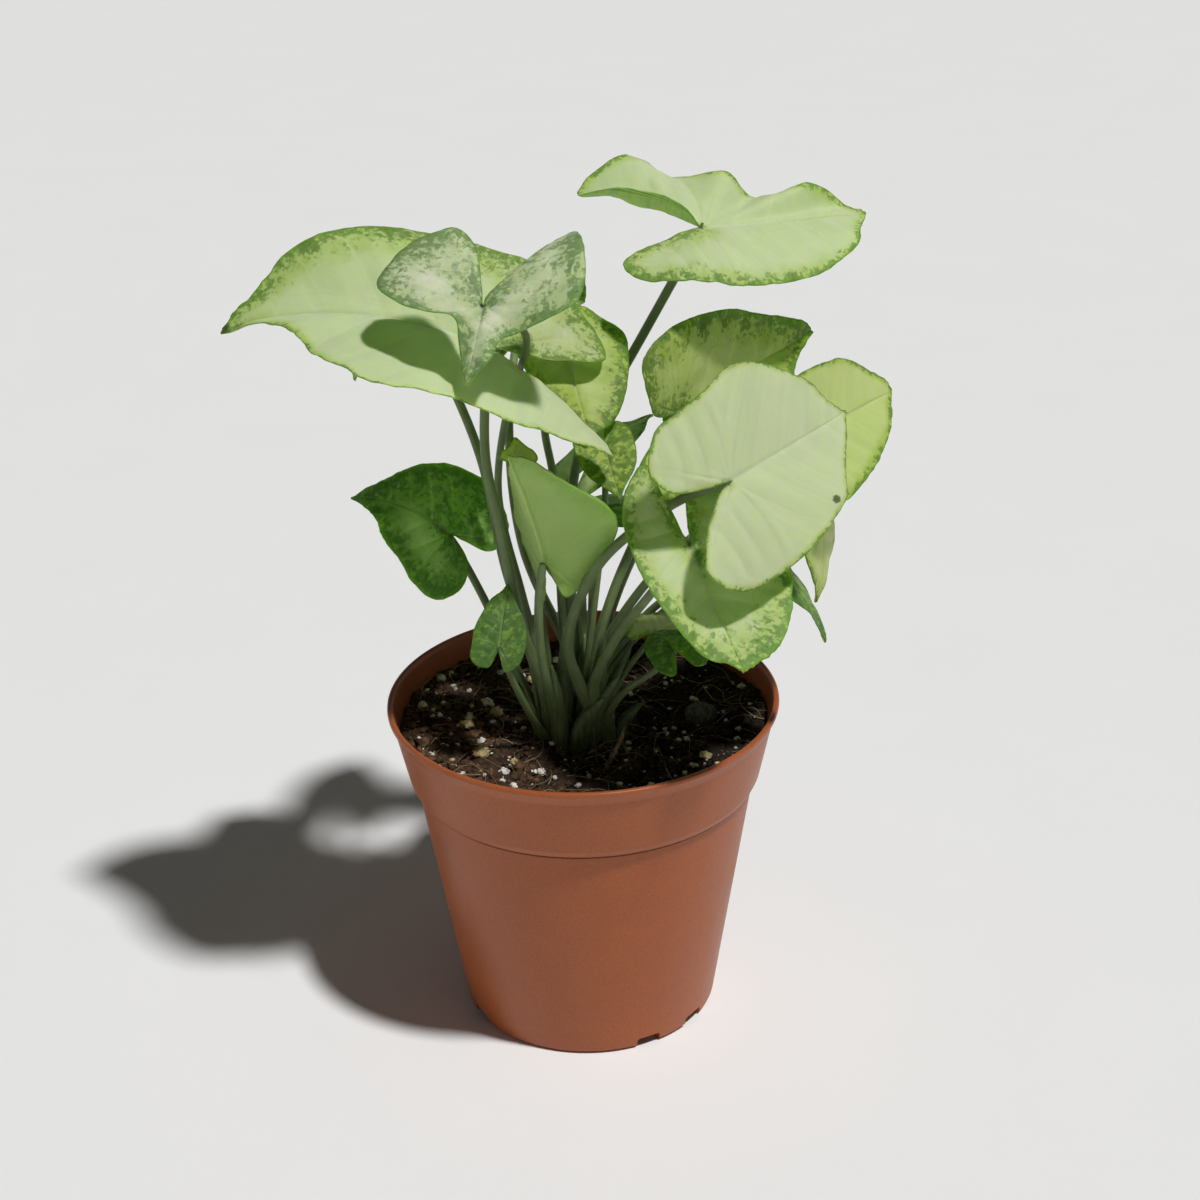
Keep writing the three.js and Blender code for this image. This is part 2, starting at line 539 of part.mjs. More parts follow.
// The stalk ends just under the blade, as far below it as its tilted end needs.
function stalkOf(leaf, foot) {
  const up = bladeAxes(leaf).up;
  const way = vec(leaf.joint).sub(vec(leaf.stalk.at(-1))).normalize();
  const tilt = Math.sqrt(1 - way.dot(up) ** 2);
  const below = BLADE_THICKNESS / 2 + GAP + STALK_TOP_RADIUS * tilt;
  const end = vec(leaf.joint).addScaledVector(up, -below);
  const points = [vec([...foot, CROWN_TOP - 6]), ...leaf.stalk.map(vec), end];
  return taperedTube(points, STALK_FOOT_RADIUS, STALK_TOP_RADIUS, STALK_SIDES, 2 + 2 * leaf.stalk.length);
}

for (const [name, foot] of Object.entries(SHOOT_FEET)) {
  const crown = [vec([...foot, CROWN_FOOT]), vec([...foot, CROWN_TOP])];
  let shoot = solidOf(taperedTube(crown, CROWN_RADIUS, CROWN_RADIUS - 0.6, 8, 2));
  for (const leaf of LEAVES)
    if (leaf.shoot === name) shoot = shoot.add(solidOf(stalkOf(leaf, foot)));
  add("shoot_" + name, geometryOf(shoot), 0x6f8a4a, 0.5);
}

export default plant;
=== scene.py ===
import math
from functools import partial

import bmesh
import bpy
import numpy as np
from mathutils import Matrix, Quaternion, Vector, noise


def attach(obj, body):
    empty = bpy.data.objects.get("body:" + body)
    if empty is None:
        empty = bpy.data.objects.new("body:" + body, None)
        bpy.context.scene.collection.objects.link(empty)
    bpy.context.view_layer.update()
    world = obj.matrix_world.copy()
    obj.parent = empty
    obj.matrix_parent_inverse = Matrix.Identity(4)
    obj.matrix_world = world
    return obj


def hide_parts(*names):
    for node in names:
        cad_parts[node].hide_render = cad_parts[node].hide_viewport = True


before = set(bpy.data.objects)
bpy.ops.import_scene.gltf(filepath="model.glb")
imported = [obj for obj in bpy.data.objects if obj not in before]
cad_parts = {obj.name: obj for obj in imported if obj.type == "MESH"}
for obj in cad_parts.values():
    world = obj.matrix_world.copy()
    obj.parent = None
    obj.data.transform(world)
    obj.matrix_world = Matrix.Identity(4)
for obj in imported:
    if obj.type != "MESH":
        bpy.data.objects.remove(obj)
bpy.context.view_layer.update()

# ---------------------------------------------------------------- studio
# A pale matt board to stand on, one distant lamp high on the front right whose light is even over
# the whole board, and white walls all round that fill the shade from the sides. Lengths in this
# file are in millimetres, and MM turns them to metres.
MM = 0.001
CAMERA_PLACE = (0, -650, 450)
CAMERA_LENS = 72
CAMERA_PITCH = 25.7
CAMERA_YAW = 0.52
CAMERA_ROLL = -1.4
LAMP_PLACE = (2100, -1800, 6000)
LAMP_ANGLE = 4.5
LAMP_POWER = 2.75
WALL_STRENGTH = 0.78
CEILING_STRENGTH = 0.03
BOARD_RADIUS = 60000


def linear(hex_colour):
    """An sRGB hex colour as linear red, green, blue and alpha."""
    channels = [int(hex_colour[i:i + 2], 16) / 255 for i in (1, 3, 5)]
    return [c / 12.92 if c <= 0.04045 else ((c + 0.055) / 1.055) ** 2.4 for c in channels] + [1]


def supply(material, socket, value):
    """Sets a socket to a value, or links it to an output. A node stands for its first one."""
    if isinstance(value, bpy.types.Node):
        value = next(output for output in value.outputs if output.enabled)
    if isinstance(value, bpy.types.NodeSocket):
        material.node_tree.links.new(value, socket)
    else:
        socket.default_value = value


def node(material, kind, *ordered, **named):
    """Adds a shader node with its settings and links. Its inputs are given in their order, or by a
    name that starts with a capital, and its settings by a name in lower case."""
    made = material.node_tree.nodes.new("ShaderNode" + kind)
    if kind == "Mix":
        made.data_type = "RGBA"
    for name, value in named.items():
        if name[0].islower():
            setattr(made, name, value)
    for socket, value in zip([socket for socket in made.inputs if socket.enabled], ordered):
        supply(material, socket, value)
    for name, value in named.items():
        if name[0].isupper():
            supply(material, made.inputs[name], value)
    return made


def feed(material, **sockets):
    """Sets or links sockets of the material's Principled shader."""
    shader = material.node_tree.nodes["Principled BSDF"]
    for name, value in sockets.items():
        supply(material, shader.inputs[name.replace("_", " ")], value)
    return material


def surface(name, **sockets):
    """A new material with its shader's constants set, and the function that adds its nodes."""
    material = bpy.data.materials.new(name)
    material.use_nodes = True
    return feed(material, **sockets), partial(node, material)


def mesh_object(name, points, faces, material, **fields):
    """A smooth-shaded mesh object from points in millimetres. Each field holds a number or a vector
    a point, which the material can read."""
    mesh = bpy.data.meshes.new(name)
    mesh.from_pydata((np.asarray(points, float) * MM).tolist(), [], faces)
    mesh.polygons.foreach_set("use_smooth", [True] * len(mesh.polygons))
    mesh.materials.append(material)
    for field, values in fields.items():
        values = np.asarray(values, np.float32)
        kind, part = ("FLOAT", "value") if values.ndim == 1 else ("FLOAT_VECTOR", "vector")
        mesh.attributes.new(field, kind, "POINT").data.foreach_set(part, values.ravel())
    made = bpy.data.objects.new(name, mesh)
    bpy.context.scene.collection.objects.link(made)
    return made


def painted_board():
    """Matt white lacquer on board, with the faintest mottle left by the roller."""
    material, add = surface("painted_board", Roughness=0.75)
    mottle = add("TexNoise", add("TexCoord").outputs["Object"], 1 / (60 * MM), 3)
    return feed(material, Base_Color=add("Mix", mottle, linear("#F3F3F2"), linear("#F6F6F5")))


def stand_board():
    rim = np.linspace(0, 2 * math.pi, 96, endpoint=False)
    points = np.stack([BOARD_RADIUS * np.cos(rim), BOARD_RADIUS * np.sin(rim), 0 * rim], 1)
    board = mesh_object("board", points, [list(range(96))], painted_board())


stand_board()

lamp = bpy.data.lights.new("overhead_lamp", "SUN")
lamp.angle = math.radians(LAMP_ANGLE)
lamp.energy = LAMP_POWER
overhead = bpy.data.objects.new("overhead_lamp", lamp)
overhead.location = Vector(LAMP_PLACE) * MM
overhead.rotation_mode = "QUATERNION"
overhead.rotation_quaternion = Vector(LAMP_PLACE).to_track_quat("Z", "Y")
bpy.context.scene.collection.objects.link(overhead)

room = bpy.data.worlds.new("room")
room.use_nodes = True
upward = node(room, "SeparateXYZ", node(room, "TexCoord").outputs["Generated"])
strength = node(room, "MapRange", upward.outputs["Z"], 0.02, 0.34, WALL_STRENGTH, CEILING_STRENGTH,
                interpolation_type="SMOOTHSTEP")
background = room.node_tree.nodes["Background"]
supply(room, background.inputs["Color"], (1, 1, 1, 1))
supply(room, background.inputs["Strength"], strength)
bpy.context.scene.world = room
bpy.context.scene.view_settings.view_transform = "Standard"

lens = bpy.data.cameras.new("camera")
lens.lens = CAMERA_LENS
lens.sensor_width = 36
lens.clip_start, lens.clip_end = 0.01, 200
camera = bpy.data.objects.new("camera", lens)
turn = Matrix.Rotation(-math.radians(CAMERA_YAW), 4, "Z")
turn = turn @ Matrix.Rotation(math.radians(90 - CAMERA_PITCH), 4, "X")
turn = turn @ Matrix.Rotation(math.radians(CAMERA_ROLL), 4, "Z")
camera.matrix_world = Matrix.Translation(Vector(CAMERA_PLACE) * MM) @ turn
bpy.context.scene.collection.objects.link(camera)
bpy.context.scene.camera = camera

# ---------------------------------------------------------------- pot
# A round nursery pot, injection-moulded in one shot of terracotta-brown polypropylene: a thin
# tapered wall, a wider collar with a rolled lip, and a recessed base with drain holes and notches.
POT_HEIGHT = 105
RIM_RADIUS = 60
COLLAR_BOTTOM = 79.5
COLLAR_RADIUS = 53.8
BODY_TOP_RADIUS = 52.3
BASE_RADIUS = 39.6
WALL = 1.2
FLOOR_TOP = 2.6
BASE_RECESS = 1.2
POT_SEGMENTS = 288
FLOOR_HOLE_RADIUS = 3
FLOOR_HOLE_ANGLES = [30, 90, 150, 210, 270, 330]
FLOOR_HOLE_CIRCLE = 24
NOTCH_WIDTH = 8
NOTCH_HEIGHT = 3.5
NOTCH_CORNER = 1.2
NOTCH_ANGLES = [-152, -64, -37, 23, 116, 143]


def body_radius(z):
    return BASE_RADIUS + (BODY_TOP_RADIUS - BASE_RADIUS) * z / COLLAR_BOTTOM


def collar_radius(z):
    lean = (RIM_RADIUS - 0.6 - COLLAR_RADIUS) / (POT_HEIGHT - COLLAR_BOTTOM)
    return COLLAR_RADIUS + lean * (z - COLLAR_BOTTOM)


POT_PROFILE = [
    (0, 0.5),
    (2.5, 0.5),
    (3.1, BASE_RECESS),
    (12.6, BASE_RECESS),
    (13.2, 0),
    (14.4, 0),
    (15, BASE_RECESS),
    (32, BASE_RECESS),
    (33, 0),
    (BASE_RADIUS - 1.2, 0),
    (BASE_RADIUS + 0.1, 1.1),
    (body_radius(COLLAR_BOTTOM - 0.9), COLLAR_BOTTOM - 0.9),
    (BODY_TOP_RADIUS - 0.5, COLLAR_BOTTOM - 0.5),
    (BODY_TOP_RADIUS - 0.5, COLLAR_BOTTOM + 0.1),
    (COLLAR_RADIUS - 0.5, COLLAR_BOTTOM + 0.2),
    (COLLAR_RADIUS + 0.55, COLLAR_BOTTOM + 2.4),
    (collar_radius(POT_HEIGHT - 4.6), POT_HEIGHT - 4.6),
    (RIM_RADIUS - 0.7, POT_HEIGHT - 2.6),
    (RIM_RADIUS, POT_HEIGHT - 1.3),
    (RIM_RADIUS - 0.1, POT_HEIGHT - 0.3),
    (RIM_RADIUS - 0.8, POT_HEIGHT),
    (RIM_RADIUS - 1.6, POT_HEIGHT - 0.2),
    (RIM_RADIUS - 2.1, POT_HEIGHT - 1.4),
    (collar_radius(POT_HEIGHT - 4) - WALL, POT_HEIGHT - 4),
    (COLLAR_RADIUS + 0.4 - WALL, COLLAR_BOTTOM + 1.2),
    (BODY_TOP_RADIUS - WALL, COLLAR_BOTTOM - 1),
    (body_radius(FLOOR_TOP + 1.4) - WALL, FLOOR_TOP + 1.4),
    (BASE_RADIUS - 2.4, FLOOR_TOP),
    (0, FLOOR_TOP),
]


def softened(profile, size, steps=4):
    """A lathe profile with each corner off the axis rounded over size."""
    rounded = [profile[0]]
    for before, corner, after in zip(profile, profile[1:], profile[2:]):
        corner = np.array(corner, float)
        arms = [np.array(end, float) - corner for end in (before, after)]
        reach = [min(size, 0.45 * np.linalg.norm(arm)) / np.linalg.norm(arm) for arm in arms]
        start, end = corner + arms[0] * reach[0], corner + arms[1] * reach[1]
        for k in range(steps + 1):
            s = k / steps
            rounded.append(tuple((1 - s) ** 2 * start + 2 * s * (1 - s) * corner + s * s * end))
    return rounded + [profile[-1]]


def tube_faces(rows, sides):
    """The faces of rows of points round a tube, closed by a centre point at each end."""
    faces = []
    first, last = rows * sides, rows * sides + 1
    for i in range(sides):
        j = (i + 1) % sides
        faces.append((first, j, i))
        for row in range(rows - 1):
            a, b = row * sides, (row + 1) * sides
            faces.append((a + i, a + j, b + j, b + i))
        faces.append((last, (rows - 1) * sides + i, (rows - 1) * sides + j))
    return faces


def turned(profile, segments):
    """Points and faces of a profile that starts and ends on the axis, turned about Z."""
    angles = np.linspace(0, 2 * math.pi, segments, endpoint=False)
    points = [(r * math.cos(a), r * math.sin(a), z) for r, z in profile[1:-1] for a in angles]
    points += [(0, 0, profile[0][1]), (0, 0, profile[-1][1])]
    return np.array(points), tube_faces(len(profile) - 2, segments)


def joined(parts):
    """Several meshes as one, from the points, the faces and any field of each."""
    points, faces, *fields = zip(*parts)
    starts = np.cumsum([0, *map(len, points)]).tolist()
    faces = [[i + start for i in face] for start, own in zip(starts, faces) for face in own]
    return np.concatenate(points), faces, *map(np.concatenate, fields)


def drains(material):
    """The round floor holes and the round-topped notches of the bottom edge, as one cutter."""
    rod, sides = turned([(0, -6), (FLOOR_HOLE_RADIUS, -6), (FLOOR_HOLE_RADIUS, 6), (0, 6)], 32)
    cuts = []
    for angle in np.radians(FLOOR_HOLE_ANGLES):
        x, y = FLOOR_HOLE_CIRCLE * math.cos(angle), FLOOR_HOLE_CIRCLE * math.sin(angle)
        cuts.append((rod + (x, y, 0), sides))
    half = NOTCH_WIDTH / 2
    outline = [(-half, -4), (half, -4)]
    for side, start in ((1, 0), (-1, 90)):
        for angle in np.radians(np.linspace(start, start + 90, 6)):
            y = side * (half - NOTCH_CORNER) + NOTCH_CORNER * math.cos(angle)
            outline.append((y, NOTCH_HEIGHT - NOTCH_CORNER + NOTCH_CORNER * math.sin(angle)))
    ends = (BASE_RADIUS - 6, BASE_RADIUS + 4)
    block = np.array([(r, y, z) for r in ends for y, z in outline] + [(r, 0, 0) for r in ends])
    for degrees in NOTCH_ANGLES:
        spin = np.array(Matrix.Rotation(math.radians(degrees), 3, "Z"))
        cuts.append((block @ spin.T, tube_faces(2, len(outline))))
    return mesh_object("drains", *joined(cuts), material)


def moulded_polypropylene():
    """Terracotta-brown polypropylene as it leaves the mould: a waxy satin skin with a fine
    orange-peel, hair scratches from nesting in a stack, peat dust inside the collar, and a dark
    line of painted shade in the groove below the collar."""
    material, add = surface("moulded_polypropylene", IOR=1.49, Specular_IOR_Level=0.42,
                            Subsurface_Weight=0.06, Subsurface_Radius=(2.0, 0.7, 0.4),
                            Subsurface_Scale=MM)
    coordinates = add("TexCoord")
    place = coordinates.outputs["Object"]
    cloud = add("TexNoise", place, 1 / (14 * MM), 4)
    grain = add("TexNoise", place, 1 / (0.45 * MM), 2)
    colour = add("Mix", cloud, linear("#A25326"), linear("#B15F2F"))
    speck = add("MapRange", grain, 0.35, 0.75, 0, 0.5)
    colour = add("Mix", speck, colour, linear("#6A3A20"))
    # Peat dust clings to the walls that face the axis, thickest just above the soil.
    height = add("SeparateXYZ", place).outputs["Z"]
    level = add("VectorMath", place, (1, 1, 0), operation="MULTIPLY")
    facing = add("VectorMath", level, coordinates.outputs["Normal"], operation="DOT_PRODUCT")
    inside = add("MapRange", facing, 0, -40 * MM)
    low = add("MapRange", height, 104 * MM, 97 * MM, 0.03, 0.2)
    dust = add("MapRange", add("TexNoise", place, 1 / (3.5 * MM), 5, 0.7), 0.42, 0.66)
    cling = add("Math", inside, low, operation="MULTIPLY")
    cling = add("Math", cling, dust, operation="MULTIPLY")
    colour = add("Mix", cling, colour, linear("#3A2416"))
    # A dark line is painted in the groove below the collar: painted shade under the collar's step.
    off_groove = add("Math", height, (COLLAR_BOTTOM - 0.1) * MM, operation="SUBTRACT")
    off_groove = add("Math", off_groove, operation="ABSOLUTE")
    painted_groove_shade = add("MapRange", off_groove, 0.35 * MM, 0.9 * MM, 0.6, 0)
    colour = add("Mix", painted_groove_shade, colour, linear("#4A2614"))
    # Scratches run up the wall, so the pattern is drawn out along Z.
    drawn = add("Mapping", place, Scale=(1, 1, 0.045))
    scratch = add("MapRange", add("TexNoise", drawn, 1 / (0.9 * MM), 3), 0.62, 0.74)
    rough = add("MapRange", cloud, 0.3, 0.7, 0.36, 0.46)
    rough = add("Math", scratch, 0.12, rough, operation="MULTIPLY_ADD")
    rough = add("Math", cling, 0.4, rough, operation="MULTIPLY_ADD", use_clamp=True)
    peel = add("TexNoise", place, 1 / (0.8 * MM), 2)
    bump = add("Bump", 0.3, 0.08 * MM, Height=peel)
    bump = add("Bump", 0.12, 0.05 * MM, Height=scratch, Normal=bump, invert=True)
    return feed(material, Base_Color=colour, Roughness=rough, Normal=bump)


def build_pot():
    points, faces = turned(softened(POT_PROFILE, 0.3), POT_SEGMENTS)
    plastic = moulded_polypropylene()
    pot = mesh_object("nursery_pot", points, faces, plastic)
    cutter = drains(plastic)
    cut = pot.modifiers.new("drains", "BOOLEAN")
    cut.operation = "DIFFERENCE"
    cut.solver = "EXACT"
    cut.object = cutter
    shaped = pot.evaluated_get(bpy.context.evaluated_depsgraph_get())
    pot.data = bpy.data.meshes.new_from_object(shaped)
    pot.modifiers.clear()
    bpy.data.objects.remove(cutter)
    pot.data.polygons.foreach_set("use_smooth", [True] * len(pot.data.polygons))
    pot.data.set_sharp_from_angle(angle=math.radians(38))
    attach(pot, "root")
    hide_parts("pot")


build_pot()

# ---------------------------------------------------------------- soil
# The pot is filled with a damp black peat mix that stops 8 mm below the rim. Its face is a bed of
# crumbs, raised a little round the crowns.
SOIL_TOP = 97
SOIL_GAP = 0.3
SHOOT_FEET = {"left": (-11, -15), "middle": (-2, -11), "right": (7, -16), "back": (3, 2)}


def soil_height(x, y):
    """The low mounds and dips of the soil, raised where the crowns push it up."""
    mounds = 0.8 * np.sin(0.13 * x + 0.7) * np.cos(0.11 * y - 0.5)
    lumps = 0.6 * np.sin(0.39 * x - 0.23 * y + 1.9) + 0.4 * np.cos(0.31 * x + 0.47 * y)
    heaped = 0
    for foot_x, foot_y in SHOOT_FEET.values():
        heaped = heaped + 1.4 * np.exp(-((x - foot_x) ** 2 + (y - foot_y) ** 2) / 6.0 ** 2)
    return SOIL_TOP + mounds + lumps + heaped


def damp_peat(name, dark, brown):
    """Decayed peat, near black where it is damp and brown where it is drier, in patches. Painted
    light and shade make it lighter and browner towards the front left and darker towards the back
    right. It is matt and open, so its roughness is full, and only wet crumbs catch a weak glint."""
    material, add = surface(name, Roughness=0.92, Specular_IOR_Level=0.25)
    place = add("TexCoord").outputs["Object"]
    patch = add("TexNoise", place, 1 / (9 * MM), 5)
    fine = add("TexNoise", place, 1 / (0.7 * MM), 4, 0.7)
    # Painted light and shade: lighter and browner towards the front left, where the light reaches
    # the soil, and darker towards the back right, under the leaves.
    toward_lit_side = add("VectorMath", place, (-0.9, -0.3, 0), operation="DOT_PRODUCT")
    painted_light_and_shade = add("MapRange", toward_lit_side, -25 * MM, 35 * MM, -0.35, 0.35)
    mixed = add("Math", patch, 1.6, fine, operation="MULTIPLY_ADD")
    mixed = add("MapRange", add("Math", mixed, painted_light_and_shade, operation="ADD"), 1, 1.75)
    colour = add("Mix", mixed, linear(dark), linear(brown))
    # Bits of about a millimetre make it up, each of a tone of its own.
    bits = add("TexVoronoi", place, 1 / (1.2 * MM))
    bit = add("SeparateXYZ", bits.outputs["Color"])
    bit = add("Math", bit, bit, operation="MULTIPLY")
    tone = add("Attribute", attribute_name="tone").outputs["Fac"]
    shade = add("MapRange", tone, 0, 1, 0.5, 1.5)
    shade = add("Math", bit, 0.9, shade, operation="MULTIPLY_ADD")
    colour = add("Mix", 1, colour, shade, blend_type="MULTIPLY")
    bump = add("Bump", 0.7, 0.7 * MM, Height=bits, invert=True)
    bump = add("Bump", 0.8, 0.35 * MM, Height=fine, Normal=bump)
    return feed(material, Base_Color=colour, Normal=bump)


def build_soil():
    rings, segments = 76, 240
    inner_wall = collar_radius(SOIL_TOP) - WALL - SOIL_GAP / 2
    profile = [(inner_wall * k / rings, 0) for k in range(rings + 1)]
    side = [
        (COLLAR_RADIUS - WALL - SOIL_GAP, COLLAR_BOTTOM + 2.2),
        (BODY_TOP_RADIUS - WALL - SOIL_GAP, COLLAR_BOTTOM - 1),
        (body_radius(FLOOR_TOP + 2) - WALL - SOIL_GAP, FLOOR_TOP + 2),
        (BASE_RADIUS - 3, FLOOR_TOP + SOIL_GAP),
        (0, FLOOR_TOP + SOIL_GAP),
    ]
    points, faces = turned(profile + side, segments)
    top = [-2, *range(rings * segments)]
    x, y = points[top, 0], points[top, 1]
    crumbled = [
        1.9 * noise.fractal(Vector((px, py, 3)) / 6.5, 0.8, 2.1, 4)
        - 1.2 * abs(noise.noise(Vector((px, py, 9)) / 2.6))
        for px, py in zip(x, y)
    ]
    points[top, 2] = soil_height(x, y) + crumbled
    peat = damp_peat("damp_peat", "#221A13", "#3D2C1F")
    soil = mesh_object("soil_filling", points, [face[::-1] for face in faces], peat,
                       tone=np.full(len(points), 0.45))
    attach(soil, "root")
    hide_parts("soil")


build_soil()

# ---------------------------------------------------------------- crumbs of the soil
# Loose crumbs and clods of decayed peat moss, 0.5 to 5 mm across, lie half sunk all over the face
# of the filling, as they were poured.
SOIL_REACH = 56.2
rng = np.random.default_rng(11)


def lump(subdivisions):
    """The points and faces of a ball of small triangles, one unit in radius."""
    ball = bmesh.new()
    bmesh.ops.create_icosphere(ball, subdivisions=subdivisions, radius=1)
    points = np.array([v.co for v in ball.verts], float)
    faces = [[v.index for v in f.verts] for f in ball.faces]
    ball.free()
    return points, faces


def any_turn():
    """A random rotation matrix."""
    return np.array(Quaternion(rng.normal(size=4)).normalized().to_matrix())


def grains(placed, subdivisions, ruggedness, sunk):
    """Rough lumps on the soil, from (x, y, size, flatness) of each."""
    ball, triangles = lump(subdivisions)
    for x, y, size, flatness in placed:
        bumpy = ball * (1 + ruggedness * rng.uniform(-1, 1, (len(ball), 1)))
        stretched = bumpy * (rng.uniform(0.75, 1.3), rng.uniform(0.75, 1.1), 1)
        shaped = (stretched @ any_turn().T) * (1, 1, flatness) * size / 2
        height = soil_height(x, y) + size * flatness * (0.5 - sunk) - 0.35
        yield shaped + (x, y, height), triangles, np.full(len(ball), rng.uniform())


def spots(count, low, high, flatness, forward=0):
    """Random places on the soil, with sizes that lean to the small end, and more of them at the
    front as forward goes up to one."""
    found = []
    while len(found) < count:
        x, y = rng.uniform(-SOIL_REACH, SOIL_REACH, 2)
        if rng.uniform() < forward * (0.5 + 0.5 * y / SOIL_REACH):
            continue
        size = low + (high - low) * rng.uniform() ** 2.5
        near_crown = min(math.hypot(x - a, y - b) for a, b in SHOOT_FEET.values()) < 4.5
        if math.hypot(x, y) + size / 2 < SOIL_REACH and not near_crown:
            found.append((x, y, size, flatness))
    return found


def scatter(name, material, placed, subdivisions, ruggedness=0.25, sunk=0.3):
    points, faces, tones = joined(grains(placed, subdivisions, ruggedness, sunk))
    made = mesh_object(name, points, faces, material, tone=tones)
    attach(made, "root")


peat_crumb = damp_peat("peat_crumb", "#281E17", "#543D2B")
scatter("peat_clods", peat_crumb, spots(90, 2.4, 5.0, 0.7), 2, 0.33, 0.45)
scatter("peat_crumbs", peat_crumb, spots(2300, 0.9, 3.0, 0.8), 2, 0.33)
scatter("peat_fines", peat_crumb, spots(3600, 0.45, 1.3, 0.9), 1)

# ---------------------------------------------------------------- perlite, bark and grit
# White perlite, a volcanic glass popped by heat, keeps the mix open. With it lie tan chips of bark
# and pumice and one grey stone. The larger ones have places of their own, and the rest is strewn.
WHITE_GRAINS = [
    (-45, 29, 3), (-30, 10, 4.4), (-50, 10, 3.6), (-35, -1, 2.6), (-24, -32, 3), (-13, -33, 2.6),
    (-21, -41, 2.4), (-2, -41, 2.2), (1, -34, 1.7), (27, 6, 2.2), (21, -8, 2.6), (47, -9, 2),
    (50, 18, 2.2), (-42, 34, 2.2), (-28, 0, 2.2), (-31, -12, 3.2), (-23, -21, 2), (-9, -37, 1.7),
    (4, -38, 1.8), (-6, -34, 1.5), (44, -12, 1.8), (-26, 30, 3), (10, 46, 3), (-8, 38, 3.6),
]
TAN_GRAINS = [
    (-27, 4, 4.6), (-36, -5, 4), (-31, -22, 4.4), (-21, -29, 3.6), (36, -27, 3.6), (-39, -27, 2.6),
    (28, 30, 4.2), (-16, 24, 3.4),
]
GREY_STONE = [(36, -2, 9, 0.75)]


def popped_perlite():
    """Expanded volcanic glass: a chalky white froth of cells, with peat lodged in its pits."""
    material, add = surface("popped_perlite", Roughness=0.85, Subsurface_Weight=0.2,
                            Subsurface_Radius=(1, 1, 1), Subsurface_Scale=0.5 * MM)
    place = add("TexCoord").outputs["Object"]
    tone = add("Attribute", attribute_name="tone").outputs["Fac"]
    colour = add("Mix", tone, linear("#CBC4B6"), linear("#F3F0E8"))
    stain = add("MapRange", add("TexNoise", place, 1 / (1.3 * MM), 4), 0.5, 0.68, 0, 0.6)
    colour = add("Mix", stain, colour, linear("#4B3A2C"))
    cells = add("TexVoronoi", place, 1 / (0.55 * MM))
    return feed(material, Base_Color=colour, Normal=add("Bump", 0.7, 0.2 * MM, Height=cells))


def weathered_chip(name, pale, dark):
    """A bit of composted bark or stone: matt, with darker grain lines."""
    material, add = surface(name, Roughness=0.88)
    drawn = add("Mapping", add("TexCoord").outputs["Object"], Scale=(1, 0.3, 0.6))
    grain = add("TexNoise", drawn, 1 / (0.8 * MM), 5)
    colour = add("Mix", add("MapRange", grain, 0.38, 0.66), linear(pale), linear(dark))
    return feed(material, Base_Color=colour, Normal=add("Bump", 0.6, 0.25 * MM, Height=grain))


perlite = popped_perlite()
bark = weathered_chip("composted_bark", "#CDBD8C", "#866B46")
scatter("perlite_grains", perlite, [(x, y, d, 0.85) for x, y, d in WHITE_GRAINS], 3, 0.22)
scatter("perlite_dust", perlite, spots(360, 0.55, 2.2, 0.8, 0.9), 2, 0.3, 0.1)
scatter("bark_chips", bark, [(x, y, d, 0.6) for x, y, d in TAN_GRAINS], 3, 0.3, 0.15)
scatter("bark_bits", bark, spots(60, 0.7, 2.2, 0.6), 2, 0.35, 0.15)
scatter("grey_stone", weathered_chip("grey_stone", "#5C5C4E", "#33332B"), GREY_STONE, 4, 0.07, 0.1)

# ---------------------------------------------------------------- root and coir fibres
# Fine dry roots and coir strands, a third of a millimetre thick, lie in loose arcs over the crumbs
# where they fell, and one dry twig leans out of the mix at the front.
FIBRE_COUNT = 230
FIBRE_RADIUS = 0.17
TWIG = [(6, -35, 98.4), (8.5, -31, 101.5), (11, -27, 104.5), (12, -25.5, 107.5)]


def swept(path, radii, sides, across=None):
    """Points and faces of a closed tube along a path, with the radius at each point of the path, or
    at each of its sides too. across is the way from the path to its first side."""
    path = np.asarray(path, float)
    ahead = np.gradient(path, axis=0)
    ahead /= np.linalg.norm(ahead, axis=1, keepdims=True)
    across = np.cross(ahead[0], (0.31, 0.12, 0.94)) if across is None else across
    angles = np.linspace(0, 2 * math.pi, sides, endpoint=False)[:, None]
    rows = []
    for centre, way, radius in zip(path, ahead, radii):
        across = across - way * (across @ way)
        across /= np.linalg.norm(across)
        other = np.cross(way, across)
        rows.append(centre + radius * (np.cos(angles) * across + np.sin(angles) * other))
    return np.concatenate(rows + [path[:1], path[-1:]]), tube_faces(len(path), sides)


def dry_root():
    """Dead root and coir: straw to rust brown, matt, each strand of its own tone."""
    material, add = surface("dry_root", Roughness=0.8)
    tone = add("Attribute", attribute_name="tone").outputs["Fac"]
    mottle = add("TexNoise", add("TexCoord").outputs["Object"], 1 / (1.5 * MM))
    share = add("Math", mottle, 0.5, tone, operation="MULTIPLY_ADD", use_clamp=True)
    return feed(material, Base_Color=add("Mix", share, linear("#3A281B"), linear("#A08A6C")))


